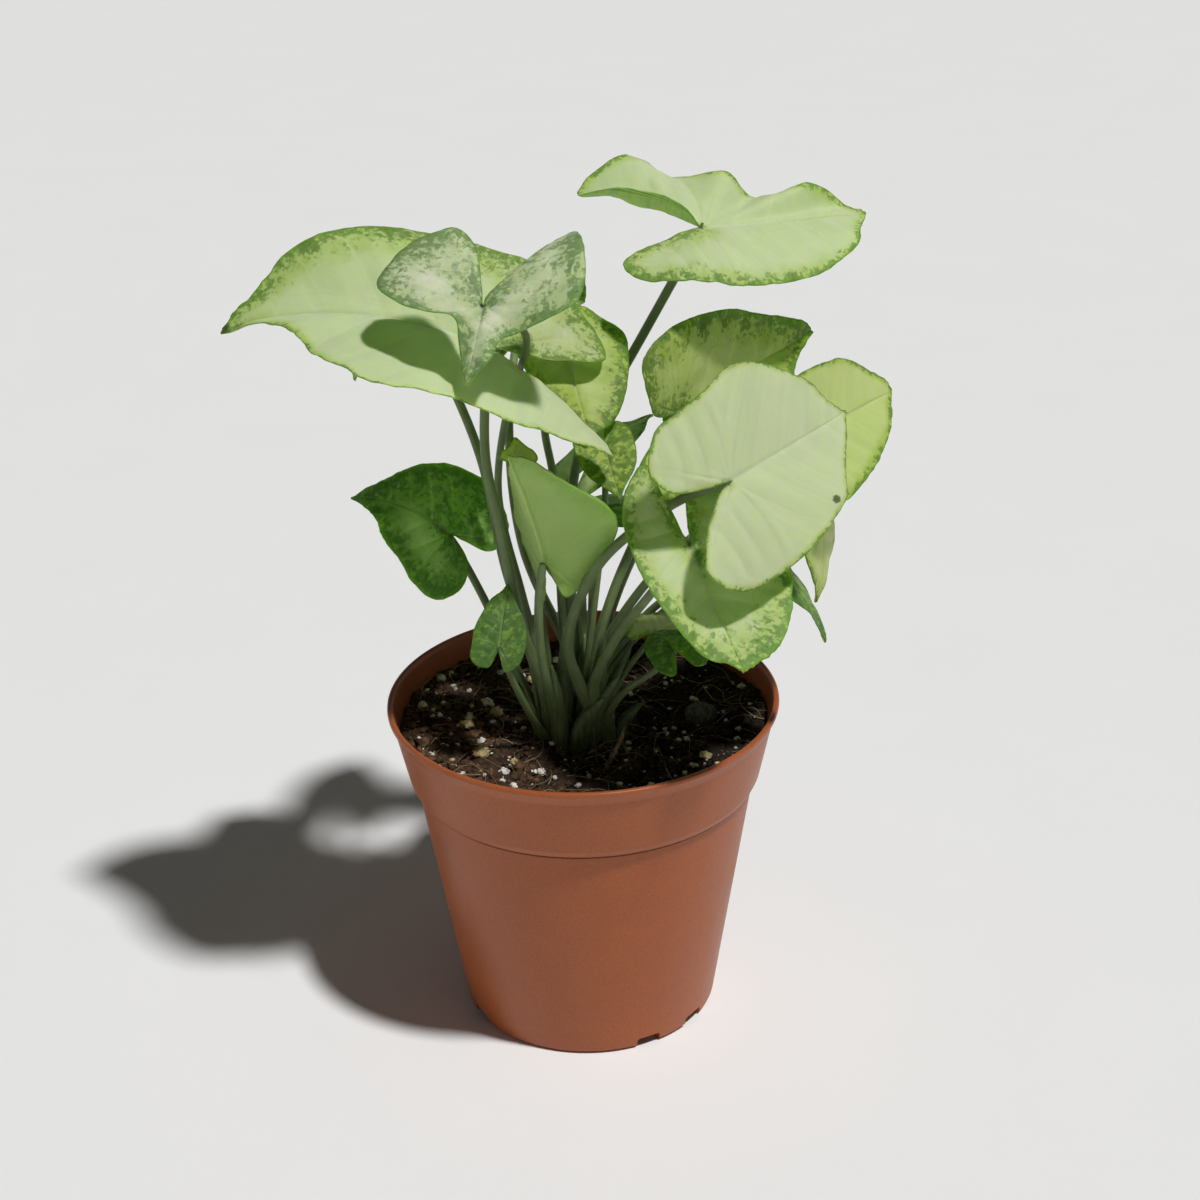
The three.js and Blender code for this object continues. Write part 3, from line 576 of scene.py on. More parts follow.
def build_fibres(count):
    strands, steps = [], 12
    for _ in range(count):
        angle, out = rng.uniform(0, 2 * math.pi), SOIL_REACH * math.sqrt(rng.uniform())
        x, y = out * math.cos(angle), out * math.sin(angle)
        way, bend = rng.uniform(0, 2 * math.pi), rng.normal(0, 0.07)
        length, lift = rng.uniform(5, 26), rng.uniform(0, 2.2) * rng.uniform()
        path = []
        for k in range(steps):
            if math.hypot(x, y) > SOIL_REACH:
                break
            arch = lift * math.sin(math.pi * k / (steps - 1))
            path.append((x, y, float(soil_height(x, y)) + 0.45 + arch))
            bend += rng.normal(0, 0.02)
            way += bend * length / steps
            x += math.cos(way) * length / steps
            y += math.sin(way) * length / steps
        if len(path) < 5:
            continue
        radii = FIBRE_RADIUS * rng.uniform(0.5, 1.15) * np.linspace(1, 0.45, len(path))
        strand, sides = swept(path, radii, 5)
        strands.append((strand, sides, np.full(len(strand), rng.uniform() ** 1.5)))
    points, faces, tones = joined(strands)
    fibres = mesh_object("root_fibres", points, faces, dry_root(), tone=tones)
    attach(fibres, "root")


def build_twig():
    points, faces = swept(TWIG, [0.75, 0.7, 0.65, 0.35], 8)
    twig = mesh_object("twig", points, faces, weathered_chip("dry_twig", "#8C7656", "#4F3D29"))
    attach(twig, "root")


build_fibres(FIBRE_COUNT)
build_twig()

# ---------------------------------------------------------------- leaves: their shapes
# Twenty-two arrow-shaped blades, each grown on a stalk of its own. A blade is a leathery sheet
# under half a millimetre thick, with a raised midrib below, a vein into each basal lobe, and side
# veins with the tissue quilted between them.
#
# joint is where the stalk meets the blade. turn is the way the tip points, from +X towards +Y, how
# far it points down, and how far the left half is turned up. bend is how far the blade curves down
# to its tip, and droop how far each basal lobe does. fold lifts each half from the midrib, and curl
# bends it down again towards the margin. wave is the height, count and phase of the margin's waves,
# and flare the rise of the margin beside the notch. left and right are the margin's reach from the
# stalk. Pairs are for the left half, then the right. skin names the colouring. green is how far the
# green comes in from the margin at the tip, the shoulder, the lobe and the notch of each half. scar
# is the flat place and the radius of a dry spot. stalk is the way from the shoot to the joint.
MARGIN_ANGLES = [7, 18, 36, 62, 92, 120, 144, 162]
TYPICAL_REACH = [0.84, 0.72, 0.6, 0.49, 0.445, 0.47, 0.5, 0.42]
GREEN_ANGLES = [0, 60, 120, 165]
FLARE_PLACE = 0.86
FLARE_SPREAD = 0.06
TYPICAL_LEAF = dict(fold=(12, 12), curl=(20, 20), droop=(15, 15), twist=0, flare=(0, 0),
                    crinkle=0.85, scar=(1000, 1000, 1), left=None, right=None)
LEAVES = [
    dict(name="leaf_broad", skin="cream", shoot="left", joint=(-24, -8, 221),
         turn=(178, -27, -20), bend=55, twist=-5, fold=(25, 20), curl=(18, 18), droop=(23, -3),
         wave=((1.7, 3, 331), (-2.4, 3, 331)),
         tip=82, left=(63, 54, 51, 48, 37, 38, 44, 43), right=(76, 66, 53, 41, 35, 34, 37, 32),
         green=((3, 0.8, 1, 0.8), (7, 15, 12, 5)), scar=(84, 0, 6),
         stalk=((-11, -16, 112), (-18, -16, 139), (-23, -14, 170), (-26, -12, 190))),
    dict(name="leaf_winged", skin="silver", shoot="left", joint=(-24, -33, 242),
         turn=(256, 38, -7), bend=0, twist=-5, fold=(25, 23), curl=(6, 8), droop=(23, 16),
         wave=((3, 2, 325), (-5, 2, 13)), crinkle=1.1,
         tip=25, left=(23, 20, 13, 15, 28, 30, 31, 9), right=(19, 14, 11, 18, 30, 31, 26, 18),
         green=((7, 4, 13, 2), (7, 4, 15, 2)),
         stalk=((-11, -12, 113), (-17, -9, 143), (-23, -5, 175), (-19, -6, 203), (-13, -12, 225))),
    dict(name="leaf_top", skin="cream", shoot="middle", joint=(39, 30, 243),
         turn=(20, 5, 25), bend=-5, twist=3, fold=(10, 9), curl=(18, 21), droop=(2, 11),
         wave=((4.2, 4.5, 122), (1.9, 2, 4)), flare=(4, 0), crinkle=1.2,
         tip=53, left=(50, 36, 26, 22, 31, 36, 38, 6), right=(49, 46, 36, 27, 25, 27, 31, 28),
         green=((2, 1.5, 2.5, 2), (2, 5, 7, 4)),
         stalk=((-3, -4, 123), (-3, -1, 152), (-1, 7, 174), (3, 15, 185), (17, 28, 204),
                (31, 31, 228))),
    dict(name="leaf_upper_right", skin="lime", shoot="middle", joint=(30, 9, 193),
         turn=(47, -9, 67), bend=-20, twist=-2, fold=(31, 16), curl=(19, 20), droop=(-3, 10),
         wave=((0.8, 3, 40), (0.8, 3, 200)),
         tip=56, left=(53, 44, 36, 29, 26, 25, 14, 8), right=(47, 41, 34, 28, 25, 26, 27, 22),
         green=((10, 12, 9, 3), (6, 3, 3, 2)),
         stalk=((3, -9, 121), (10, -2, 141), (22, 6, 167))),
    dict(name="leaf_front_right", skin="cream", shoot="right", joint=(42, -46, 194),
         turn=(35, -14, 54), bend=24, fold=(21, 14), curl=(8, 20), droop=(5, -6),
         wave=((0.2, 3, 0), (-1.5, 2, 358)),
         tip=51, left=(44, 41, 36, 32, 25, 27, 26, 18), right=(46, 39, 35, 30, 29, 31, 27, 8),
         green=((1, 1, 1.5, 0.8), (1, 1.2, 1.5, 0.8)), scar=(24.6, -19.6, 1.6),
         stalk=((-4, -20, 131), (-1, -22, 146), (6, -27, 162), (15, -29, 172), (29, -34, 184))),
    dict(name="leaf_far_right", skin="lime", shoot="back", joint=(66, -12, 192),
         turn=(35, -14, 49), bend=30, twist=2, fold=(23, 13), curl=(12, 19),
         wave=((0.7, 3, 90), (0.7, 3, 250)),
         tip=41, left=(39, 33, 27, 20, 17, 19, 20, 17), right=(36, 30, 25, 21, 21, 20, 21, 17),
         green=((1.5, 1.5, 2, 1.5), (2, 2.5, 2.5, 2)),
         stalk=((5, -4, 119), (18, -4, 142), (42, -8, 169))),
    dict(name="leaf_low_right", skin="cream", shoot="right", joint=(31, -41, 173),
         turn=(293, 40, -8), bend=-5, twist=4, fold=(20, 14), curl=(8, 20), droop=(4, -16),
         wave=((-0.4, 2, 356), (-1.4, 2, 338)),
         tip=41, left=(40, 39, 34, 28, 22, 21, 22, 18), right=(37, 34, 27, 22, 19, 21, 25, 25),
         green=((15, 5, 4, 6), (10, 5, 5, 6)),
         stalk=((3, -20, 117), (10, -28, 138), (20, -38, 157))),
    dict(name="leaf_yellow", skin="lime", shoot="middle", joint=(-3, 11, 215),
         turn=(286, 38, -1), bend=0, fold=(11, 14), curl=(11, 17), droop=(18, 16),
         wave=((0.6, 3, 30), (0.6, 3, 300)),
         tip=32, left=(31, 29, 24, 20, 19, 15, 15, 13), right=(27, 21, 19, 16, 15, 15, 16, 13),
         green=((6, 6, 6, 5), (6, 5, 6, 5)),
         stalk=((-5, -8, 125), (-6, -3, 152), (-7, 2, 177), (-9, 5, 194))),
    dict(name="leaf_hanging", skin="lime", shoot="back", joint=(71, -10, 165),
         turn=(352, 82, 17), bend=21, fold=(8, 7), curl=(23, 24),
         wave=((0.5, 3, 0), (0.5, 3, 120)), tip=27, green=((2, 2, 2, 2),) * 2,
         stalk=((8, 5, 111), (33, 8, 136), (58, 2, 159))),
    dict(name="leaf_slender", skin="green", shoot="back", joint=(52, -22, 162),
         turn=(344, 34, -11), bend=36, twist=-1, fold=(5, 8), curl=(27, 25),
         wave=((0.5, 3, 60), (0.5, 3, 180)), tip=34, green=((14, 6, 5, 3),) * 2,
         stalk=((6, 1, 113), (21, 6, 130), (38, -7, 148))),
    dict(name="leaf_upright", skin="green", shoot="middle", joint=(-10, -23, 161),
         turn=(240, -74, -1), bend=16, twist=1, fold=(33, 47), curl=(10, 17), droop=(9, 13),
         wave=((0.4, 3, 0), (0.4, 3, 90)),
         tip=43, left=(40, 34, 29, 27, 18, 13, 14, 13), right=(36, 31, 26, 21, 19, 19, 20, 17),
         green=((4, 4, 4, 4),) * 2,
         stalk=((-9, -20, 114), (-12, -22, 132), (-12, -23, 149))),
    dict(name="leaf_left", skin="green", shoot="left", joint=(-38, 5, 158),
         turn=(165, -38, -27), bend=65, fold=(-2, 17), curl=(24, 10), droop=(34, 23),
         wave=((0.6, 3, 200), (0.6, 3, 10)),
         tip=38, left=(30, 24, 21, 18, 20, 21, 17, 9), right=(32, 28, 25, 22, 21, 19, 17, 12),
         green=((9, 6, 12, 6), (16, 20, 20, 12)),
         stalk=((-16, -13, 111), (-22, -8, 125), (-29, 0, 139))),
    dict(name="leaf_small_left", skin="green", shoot="left", joint=(-24, -29, 137),
         turn=(73, -61, 5), bend=18, fold=(12, 14), curl=(19, 18), droop=(12, 13),
         wave=((0.3, 2, 0), (0.3, 2, 90)),
         tip=19, left=(16, 14, 11, 9, 8, 9, 8, 6), right=(16, 13, 11, 9, 8, 8, 8, 7),
         green=((22, 18, 16, 13),) * 2,
         stalk=((-16, -22, 111), (-20, -26, 123))),
    dict(name="leaf_middle_back", skin="green", shoot="back", joint=(3, 25, 170),
         turn=(49, -27, -13), bend=24, twist=-1, fold=(11, 14), curl=(21, 18),
         wave=((0.6, 3, 120), (0.6, 3, 0)), tip=32, green=((3, 2, 2, 2),) * 2,
         stalk=((1, 5, 118), (1, 15, 144))),
    dict(name="leaf_middle", skin="lime", shoot="middle", joint=(8, -10, 191),
         turn=(284, 30, 7), bend=0, twist=2, fold=(19, 18), curl=(22, 23),
         wave=((0.3, 2, 0), (0.3, 2, 90)), tip=20, green=((14, 12, 12, 9),) * 2,
         stalk=((2, -10, 125), (6, -9, 155), (8, -9, 174))),
    dict(name="leaf_crest", skin="lime", shoot="left", joint=(-17, -16, 190),
         turn=(92, -30, 8), bend=12, fold=(10, 10), curl=(8, 8),
         wave=((0.3, 2, 0), (0.3, 2, 90)),
         tip=9, left=(8, 6, 5, 5, 5, 3, 3, 3), right=(8, 7, 6, 6, 6, 4, 3, 3),
         green=((1, 0.5, 0.5, 0.5),) * 2,
         stalk=((-10, -9, 117), (-13, -3, 148), (-16, -5, 172))),
    dict(name="leaf_low_pale", skin="cream", shoot="right", joint=(22, -9, 130),
         turn=(50, -2, 15), bend=21, fold=(15, 13), curl=(18, 19), droop=(8, 15),
         wave=((0.2, 2, 0), (0.2, 2, 90)), tip=18, green=((2, 2, 2, 2),) * 2,
         stalk=((7, -14, 107), (13, -10, 118))),
    dict(name="leaf_low_round", skin="green", shoot="right", joint=(27, -26, 133),
         turn=(108, -8, -12), bend=29, fold=(10, 11), curl=(21, 21), droop=(20, 17),
         wave=((0.3, 2, 0), (0.3, 2, 90)),
         tip=17, left=(15, 13, 11, 9, 8, 9, 10, 9), right=(15, 13, 11, 10, 9, 10, 11, 9),
         green=((10, 10, 10, 10),) * 2,
         stalk=((8, -20, 110), (14, -24, 120), (21, -26, 126))),
    dict(name="leaf_back_left", skin="lime", shoot="left", joint=(-42, 26, 210),
         turn=(130, 5, 5), bend=45, wave=((0.8, 3, 0), (0.8, 3, 140)), tip=46,
         green=((16, 10, 9, 5), (16, 10, 10, 5)),
         stalk=((-15, -9, 125), (-22, -2, 150), (-28, 8, 180), (-36, 19, 199))),
    dict(name="leaf_back_right", skin="lime", shoot="back", joint=(47, 44, 175),
         turn=(55, 5, 10), bend=45, wave=((0.8, 3, 70), (0.8, 3, 250)), tip=42,
         green=((7, 5, 8, 5), (8, 9, 12, 6)),
         stalk=((6, 8, 118), (18, 20, 145), (36, 34, 165))),
    dict(name="leaf_back_low", skin="green", shoot="back", joint=(4, 36, 152),
         turn=(95, 5, 0), bend=50, wave=((0.7, 3, 10), (0.7, 3, 190)), tip=38,
         green=((12, 10, 12, 8),) * 2,
         stalk=((3, 10, 116), (4, 22, 136))),
    dict(name="leaf_back_top", skin="cream", shoot="back", joint=(-15, 51, 217),
         turn=(90, -5, 0), bend=50, wave=((0.8, 3, 200), (0.8, 3, 20)), tip=44,
         green=((5, 6, 9, 5),) * 2,
         stalk=((-5, 6, 120), (-17, 13, 150), (-20, 28, 185))),
]


def eased(start, end, leave, arrive, s):
    """The point at share s from start to end on a cubic curve that leaves and arrives as given."""
    return ((2 * start - 2 * end + leave + arrive) * s ** 3
            + (3 * end - 3 * start - 2 * leave - arrive) * s ** 2 + leave * s + start)


def smooth_line(points, shares):
    """Points at shares of the way along a uniform Catmull-Rom curve."""
    last = len(points) - 1
    place = np.clip(np.asarray(shares) * last, 0, last - 1e-9)
    k = place.astype(int)
    before, start = points[np.maximum(k - 1, 0)], points[k]
    end, after = points[k + 1], points[np.minimum(k + 2, last)]
    return eased(start, end, (end - before) / 2, (after - start) / 2, (place - k)[:, None])


def margin(leaf, side, shares):
    """The flat margin of one half, from the tip round the lobe to the stalk."""
    given = leaf["left" if side > 0 else "right"]
    reach = np.array(given or [share * leaf["tip"] for share in TYPICAL_REACH])
    angles = np.radians(MARGIN_ANGLES)
    points = np.stack([reach * np.cos(angles), side * reach * np.sin(angles)], 1)
    line = smooth_line(np.vstack([(leaf["tip"], 0), points, (0, 0)]), shares)
    nicks = [noise.noise(Vector((45 * share, leaf["tip"], side)))
             + noise.noise(Vector((17 * share, side, leaf["tip"]))) for share in shares]
    return line * (1 + 0.012 * np.array(nicks)[:, None])


def blade_axes(leaf):
    """The way a blade faces: ahead along the midrib, left across it, and up out of its face."""
    heading, dip, roll = np.radians(leaf["turn"])
    ahead = np.array([math.cos(heading) * math.cos(dip), math.sin(heading) * math.cos(dip),
                      -math.sin(dip)])
    level = np.array([-math.sin(heading), math.cos(heading), 0])
    rise = np.cross(ahead, level)
    left = level * math.cos(roll) + rise * math.sin(roll)
    return ahead, left, np.cross(ahead, left)


def on_arc(length, turn):
    """How far along and aside a point is, length along an arc that turns by turn a millimetre."""
    angle = length * turn
    near = np.abs(angle) < 1e-5
    safe = np.where(near, 1, turn)
    along = np.where(near, length, np.sin(angle) / safe)
    aside = np.where(near, length * angle / 2, (1 - np.cos(angle)) / safe)
    return along, aside


def blade_surface(leaf, side, shares, outward):
    """The middle of the blade for one half, and its flat places: folded and curled across the
    midrib, waved near the margin, and bent along the midrib."""
    tip, half = leaf["tip"], 0 if side > 0 else 1
    flat = margin(leaf, side, shares)[:, None] * outward[None, :, None]
    x, width = flat[..., 0], np.abs(flat[..., 1])
    bend = np.where(x >= 0, math.radians(leaf["bend"]) / tip, 0)
    lobe = np.where(x >= 0, 0, math.radians(leaf["droop"][half]) / (0.45 * tip))
    along, down = on_arc(np.abs(x), bend + lobe)
    slope = np.abs(x) * (bend - lobe)
    crease = np.sqrt(width ** 2 + 1.2 ** 2) - 1.2
    out, up = on_arc(width, -math.radians(leaf["curl"][half]) / (0.44 * tip))
    fold = math.radians(leaf["fold"][half])
    height, count, phase = leaf["wave"][half]
    t = shares[:, None]
    fade = np.minimum(1, 6 * t) * np.minimum(1, 5 * (1 - t))
    wave = height * outward ** 2 * np.sin(2 * math.pi * count * t + math.radians(phase)) * fade
    flare = leaf["flare"][half] * np.exp(-((t - FLARE_PLACE) / FLARE_SPREAD) ** 2)
    wave = wave + flare * outward ** 2
    across = side * (out * math.cos(fold) - up * math.sin(fold))
    above = out * math.sin(fold) * crease / np.maximum(width, 1e-6) + up * math.cos(fold) + wave
    twist = math.radians(leaf["twist"]) * x / tip
    y = across * np.cos(twist) - above * np.sin(twist)
    z = across * np.sin(twist) + above * np.cos(twist)
    ahead, left, rise = blade_axes(leaf)
    along = np.sign(x) * along + z * np.sin(slope)
    lifted = z * np.cos(slope) - down
    place = along[..., None] * ahead + y[..., None] * left + lifted[..., None] * rise
    return np.array(leaf["joint"]) + place, flat


# The thickness and the veins of a blade. The quilting is a share of the blade's length.
BLADE_THICKNESS = 0.44
MARGIN_THICKNESS = 0.2
QUILTING = 0.0075
SIDE_VEIN_LEAN = 0.5
LOBE_VEIN_ANGLE = math.radians(143)
MIDRIB_HALF_WIDTH = 0.75
LOBE_VEIN_HALF_WIDTH = 0.4


def vein_fields(leaf, flat):
    """How far each flat place is from the midrib and the lobe vein, in half widths of the vein, its
    count of side veins from the joint, which is whole on a vein, their spacing, and how far out
    along its side vein it is."""
    tip = leaf["tip"]
    x, width = flat[:, 0], np.abs(flat[:, 1])
    taper = np.clip(1 - x / tip, 0.12, 1) * np.clip(tip / 40, 0.5, 1)
    from_midrib = np.where(x > 0, width, np.hypot(x, width)) / (MIDRIB_HALF_WIDTH * taper)
    cos, sin = math.cos(LOBE_VEIN_ANGLE), math.sin(LOBE_VEIN_ANGLE)
    back, aside = x * cos + width * sin, x * sin - width * cos
    lobe_taper = np.clip(1 - back / (0.5 * tip), 0.15, 1) * np.clip(tip / 40, 0.5, 1)
    from_lobe = np.where(back > 0, np.abs(aside), np.hypot(back, aside))
    from_lobe = from_lobe / (LOBE_VEIN_HALF_WIDTH * lobe_taper)
    front = np.arctan2(width, x) < LOBE_VEIN_ANGLE / 2
    axis, reach = np.where(front, x, back), np.where(front, width, np.abs(aside))
    spacing = tip * np.where(front, 0.19, 0.15)
    count = (axis - SIDE_VEIN_LEAN * reach - 0.4 / tip * reach ** 2) / spacing
    return from_midrib, from_lobe, count, spacing, reach


def green_reach(leaf, flat):
    """How near each flat place is to the green margin: one at the margin and nothing where the
    green ends."""
    angles = np.degrees(np.arctan2(np.abs(flat[:, 1]), flat[:, 0]))
    left, right = (np.interp(angles, GREEN_ANGLES, half) for half in leaf["green"])
    return np.where(flat[:, 1] >= 0, left, right)


def from_margin(leaf, flat):
    """The distance of each flat place from the nearest point of the margin."""
    shares = np.linspace(0, 1, 260)
    nearest = np.full(len(flat), 1e9)
    for side in (1, -1):
        for point in margin(leaf, side, shares):
            nearest = np.minimum(nearest, np.hypot(*(flat - point).T))
    return nearest


def blade_mesh(leaf):
    """The two faces of a blade with its veins and quilting raised, as points, faces and the fields
    that its skin is coloured by."""
    columns, rings = (100, 28) if leaf["tip"] > 35 else (60, 18)
    outward = np.linspace(0, 1, rings + 1)[1:]
    right, left = [blade_surface(leaf, side, np.arange(columns) / columns, outward)
                   for side in (-1, 1)]
    places, flat = [np.concatenate([a[:0:-1], b]) for a, b in zip(right, left)]
    count = len(places)
    joint = np.array(leaf["joint"], float)
    grid = np.concatenate([np.broadcast_to(joint, (count, 1, 3)), places], 1)
    normal = np.cross(np.gradient(grid, axis=1), np.gradient(grid, axis=0))[:, 1:].reshape(-1, 3)
    normal /= np.maximum(np.linalg.norm(normal, axis=1, keepdims=True), 1e-9)
    rise = blade_axes(leaf)[2]
    normal = np.vstack([rise, normal])
    middle = np.vstack([joint, places.reshape(-1, 3)])
    flat = np.vstack([(0, 0), flat.reshape(-1, 2)])
    if np.mean(normal[1:] @ rise) < 0:
        normal[1:] *= -1

    edge = from_margin(leaf, flat)
    from_midrib, from_lobe, count_out, spacing, reach_out = vein_fields(leaf, flat)
    side_veins = np.maximum(count_out, -0.5)
    inner = np.clip(edge / (0.12 * leaf["tip"]), 0, 1)
    between = np.sin(math.pi * side_veins) ** 2 * (side_veins > -0.5)
    near_side = np.abs(side_veins - np.round(side_veins)) * spacing
    groove = (0.4 * np.exp(-(from_midrib / 1.6) ** 2) + 0.25 * np.exp(-(from_lobe / 1.8) ** 2)
              + 0.2 * np.exp(-(near_side / 0.8) ** 2) * inner)
    uneven = np.array([noise.noise(Vector((px, py, 40 + leaf["tip"])) / 16) for px, py in flat])
    quilt = QUILTING * leaf["tip"] * between * inner * np.clip(from_midrib / 6, 0, 1)
    quilt *= np.clip(0.55 + 1.4 * uneven, 0.1, 1.3)
    rib = (0.75 * np.exp(-(from_midrib / 1.3) ** 2) + 0.35 * np.exp(-(from_lobe / 1.5) ** 2)
           + 0.16 * np.exp(-(near_side / 0.5) ** 2) * inner)
    ripple = [noise.fractal(Vector((px, py, leaf["tip"])) / 9, 1, 2, 3) for px, py in flat]
    crinkle = leaf["crinkle"] * min(1, leaf["tip"] / 45) * np.clip(1.4 - inner, 0.3, 1) * ripple
    thick = MARGIN_THICKNESS + (BLADE_THICKNESS - MARGIN_THICKNESS) * np.clip(edge / 2.5, 0, 1)
    upper = middle + normal * (quilt - groove + crinkle + thick / 2)[:, None]
    lower = middle + normal * (quilt - rib + crinkle - thick / 2)[:, None]

    at = lambda ray, ring: 0 if ring == 0 else 1 + ray * rings + ring - 1
    top = []
    for ray in range(count - 1):
        top.append((0, at(ray, 1), at(ray + 1, 1)))
        for ring in range(1, rings):
            top.append((at(ray, ring), at(ray, ring + 1), at(ray + 1, ring + 1), at(ray + 1, ring)))
    total = len(middle)
    loop = [at(0, ring) for ring in range(rings)] + [at(ray, rings) for ray in range(count)]
    loop += [at(count - 1, ring) for ring in range(rings - 1, 0, -1)]
    faces = top + [tuple(total + i for i in reversed(face)) for face in top]
    for a, b in zip(loop, loop[1:] + loop[:1]):
        faces.append((b, a, total + a, total + b))
    reach = green_reach(leaf, flat)
    green = np.clip(1 - edge / np.maximum(reach, 0.5), -1, 1)
    scar_x, scar_y, scar_radius = leaf["scar"]
    scar = np.hypot(flat[:, 0] - scar_x, flat[:, 1] - scar_y) / scar_radius
    drift = 40 * (flat[:, 1] > 0)
    fields = {
        "place": [flat[:, 0], flat[:, 1], edge],
        "veins": [from_midrib, from_lobe, side_veins],
        "tint": [green, spacing, np.ones(total)],
        "grain": [count_out * spacing + drift, 0.75 * reach_out, scar],
    }
    fields = {name: np.tile(np.stack(values, 1), (2, 1)) for name, values in fields.items()}
    fields["tint"][total:, 2] = 0
    return np.vstack([upper, lower]), faces, fields


# ---------------------------------------------------------------- leaves: their skin
# The skin of a variegated leaf: cells with no chlorophyll show cream or yellow, and green islands
# gather towards the margin. Below a thin waxy cuticle the tissue lets light through.
SKINS = {  # pale, warm, deep, vein and underside
    "cream": ("#BEC9A0", "#AEBC78", "#466C20", "#CCD3B6", "#A8BA8C"),
    "silver": ("#D6DAC4", "#B4BE94", "#4E6C3C", "#D3D7C3", "#9CB085"),
    "lime": ("#B4BF7E", "#9CAC54", "#3A5C22", "#BCC694", "#98AC70"),
    "green": ("#A6B881", "#78944A", "#36552C", "#AEBC8C", "#A4C06C"),
}


def leaf_skin(name, pale, warm, deep, vein, under):
    """Living leaf tissue, satin above and matt below. The margin's green comes in as islands of one
    or two millimetres, and the veins stay a little paler."""
    material, add = surface(name + "_skin", IOR=1.42, Specular_IOR_Level=0.2, Subsurface_Weight=0.9,
                            Subsurface_Radius=(1.1, 1.7, 0.2), Subsurface_Scale=MM)
    place, veins, tint, grain = [
        add("SeparateXYZ", add("Attribute", attribute_name=field).outputs["Vector"]).outputs
        for field in ("place", "veins", "tint", "grain")]
    edge = place["Z"]
    green, spacing, upper = tint
    flat = add("CombineXYZ", place["X"], place["Y"])
    drawn = add("CombineXYZ", grain["X"], grain["Y"])

    # Cream shades to warm yellow-green near the green, and in soft clouds of 12 mm.
    cloud = add("TexNoise", flat, 1 / 12, 4, 0.6)
    warmth = add("Math", green, 0.35, cloud, operation="MULTIPLY_ADD")
    warmth = add("MapRange", warmth, 0.25, 0.75, interpolation_type="SMOOTHSTEP")
    colour = add("Mix", warmth, linear(pale), linear(warm))

    # Green islands: a noise of 5 mm decides where they crowd, and each small field between the
    # finest veins, of about 1.2 mm, is green or not as a whole.
    crowd = add("TexNoise", drawn, 1 / 5, 5, 0.75)
    sway = add("TexNoise", flat, 1 / 1.3, 3).outputs["Color"]
    sway = add("VectorMath", sway, (1.6, 1.6, 0), flat, operation="MULTIPLY_ADD")
    island = add("SeparateXYZ", add("TexVoronoi", sway, 1 / 1.2).outputs["Color"])
    level = add("Math", crowd, 2.6, green, operation="MULTIPLY_ADD")
    level = add("Math", island, 0.8, level, operation="MULTIPLY_ADD")
    specks = add("MapRange", level, 1.98, 2.66, 0, 0.92, interpolation_type="SMOOTHSTEP")
    dark = add("Mix", island, linear(deep), linear(warm))
    dark = add("Mix", 0.3, linear(deep), dark)
    colour = add("Mix", specks, colour, dark)

    # Broad bands, a little darker and lighter by turns, run out with the side veins: painted shade
    # and light of the quilting between them.
    quilt_shade_noise = add("TexNoise", add("Mapping", drawn, Scale=(1 / 4.5, 1 / 30, 1)), 1, 2)
    painted_quilt_shade = add("MapRange", quilt_shade_noise, 0.3, 0.7, 0.95, 1.03)
    colour = add("Mix", 1, colour, painted_quilt_shade, blend_type="MULTIPLY")

    # Paler veins: midrib, lobe veins and side veins, which fade out before the margin.
    midrib = add("MapRange", veins["X"], 0.3, 1.2, 0.4, 0)
    lobe = add("MapRange", veins["Y"], 0.3, 1.3, 0.3, 0)
    aside = add("Math", veins["Z"], 0.5, operation="PINGPONG")
    aside = add("Math", aside, spacing, operation="MULTIPLY")
    side = add("MapRange", aside, 0.1, 0.6, 0.2, 0)
    side = add("Math", side, add("MapRange", edge, 1, 8), operation="MULTIPLY")
    pale_line = add("Math", midrib, lobe, operation="MAXIMUM")
    pale_line = add("Math", pale_line, side, operation="MAXIMUM")
    colour = add("Mix", pale_line, colour, linear(vein))

    # The underside is even, a thin line of green seals the margin, and a dry spot is olive brown.
    colour = add("Mix", upper, add("Mix", 0.7, colour, linear(under)), colour)
    colour = add("Mix", add("MapRange", edge, 0.1, 0.5, 0.75, 0), colour, linear(deep))
    dry = add("MapRange", grain["Z"], 0.7, 1, 0.85, 0)
    colour = add("Mix", dry, colour, linear("#3F4029"))

    # The finest veins net the tissue in cells of 2 mm, and each skin cell is a slight bulge.
    net = add("TexVoronoi", flat, 1 / 2.2, feature="DISTANCE_TO_EDGE")
    bump = add("Bump", 0.14, 0.08 * MM, Height=add("MapRange", net, 0, 0.12))
    pores = add("TexNoise", flat, 1 / 0.35, 2)
    bump = add("Bump", 0.2, 0.05 * MM, Height=pores, Normal=bump)
    rough = add("MapRange", upper, 0, 1, 0.62, 0.48)
    rough = add("Math", cloud, 0.12, rough, operation="MULTIPLY_ADD")
    return feed(material, Base_Color=colour, Roughness=rough, Normal=bump)


skins = {name: leaf_skin(name, *colours) for name, colours in SKINS.items()}


def build_leaf(leaf):
    points, faces, fields = blade_mesh(leaf)
    blade = mesh_object(leaf["name"] + "_blade", points, faces, skins[leaf["skin"]], **fields)
    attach(blade, "root")
    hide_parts(leaf["name"])


for leaf in LEAVES:
    build_leaf(TYPICAL_LEAF | leaf)

# ---------------------------------------------------------------- leaf stalks on their shoots
# Each shoot is a short crown from which its leaf stalks grow one after the other. A stalk is juicy
# and round, grooved on its inner side, and widens at the foot to a sheath that wraps the next one.
CROWN_FOOT = 83
CROWN_TOP = 104
STALK_FOOT_RADIUS = 2.2
STALK_TOP_RADIUS = 1.35
STALK_UNDER_BLADE = 1


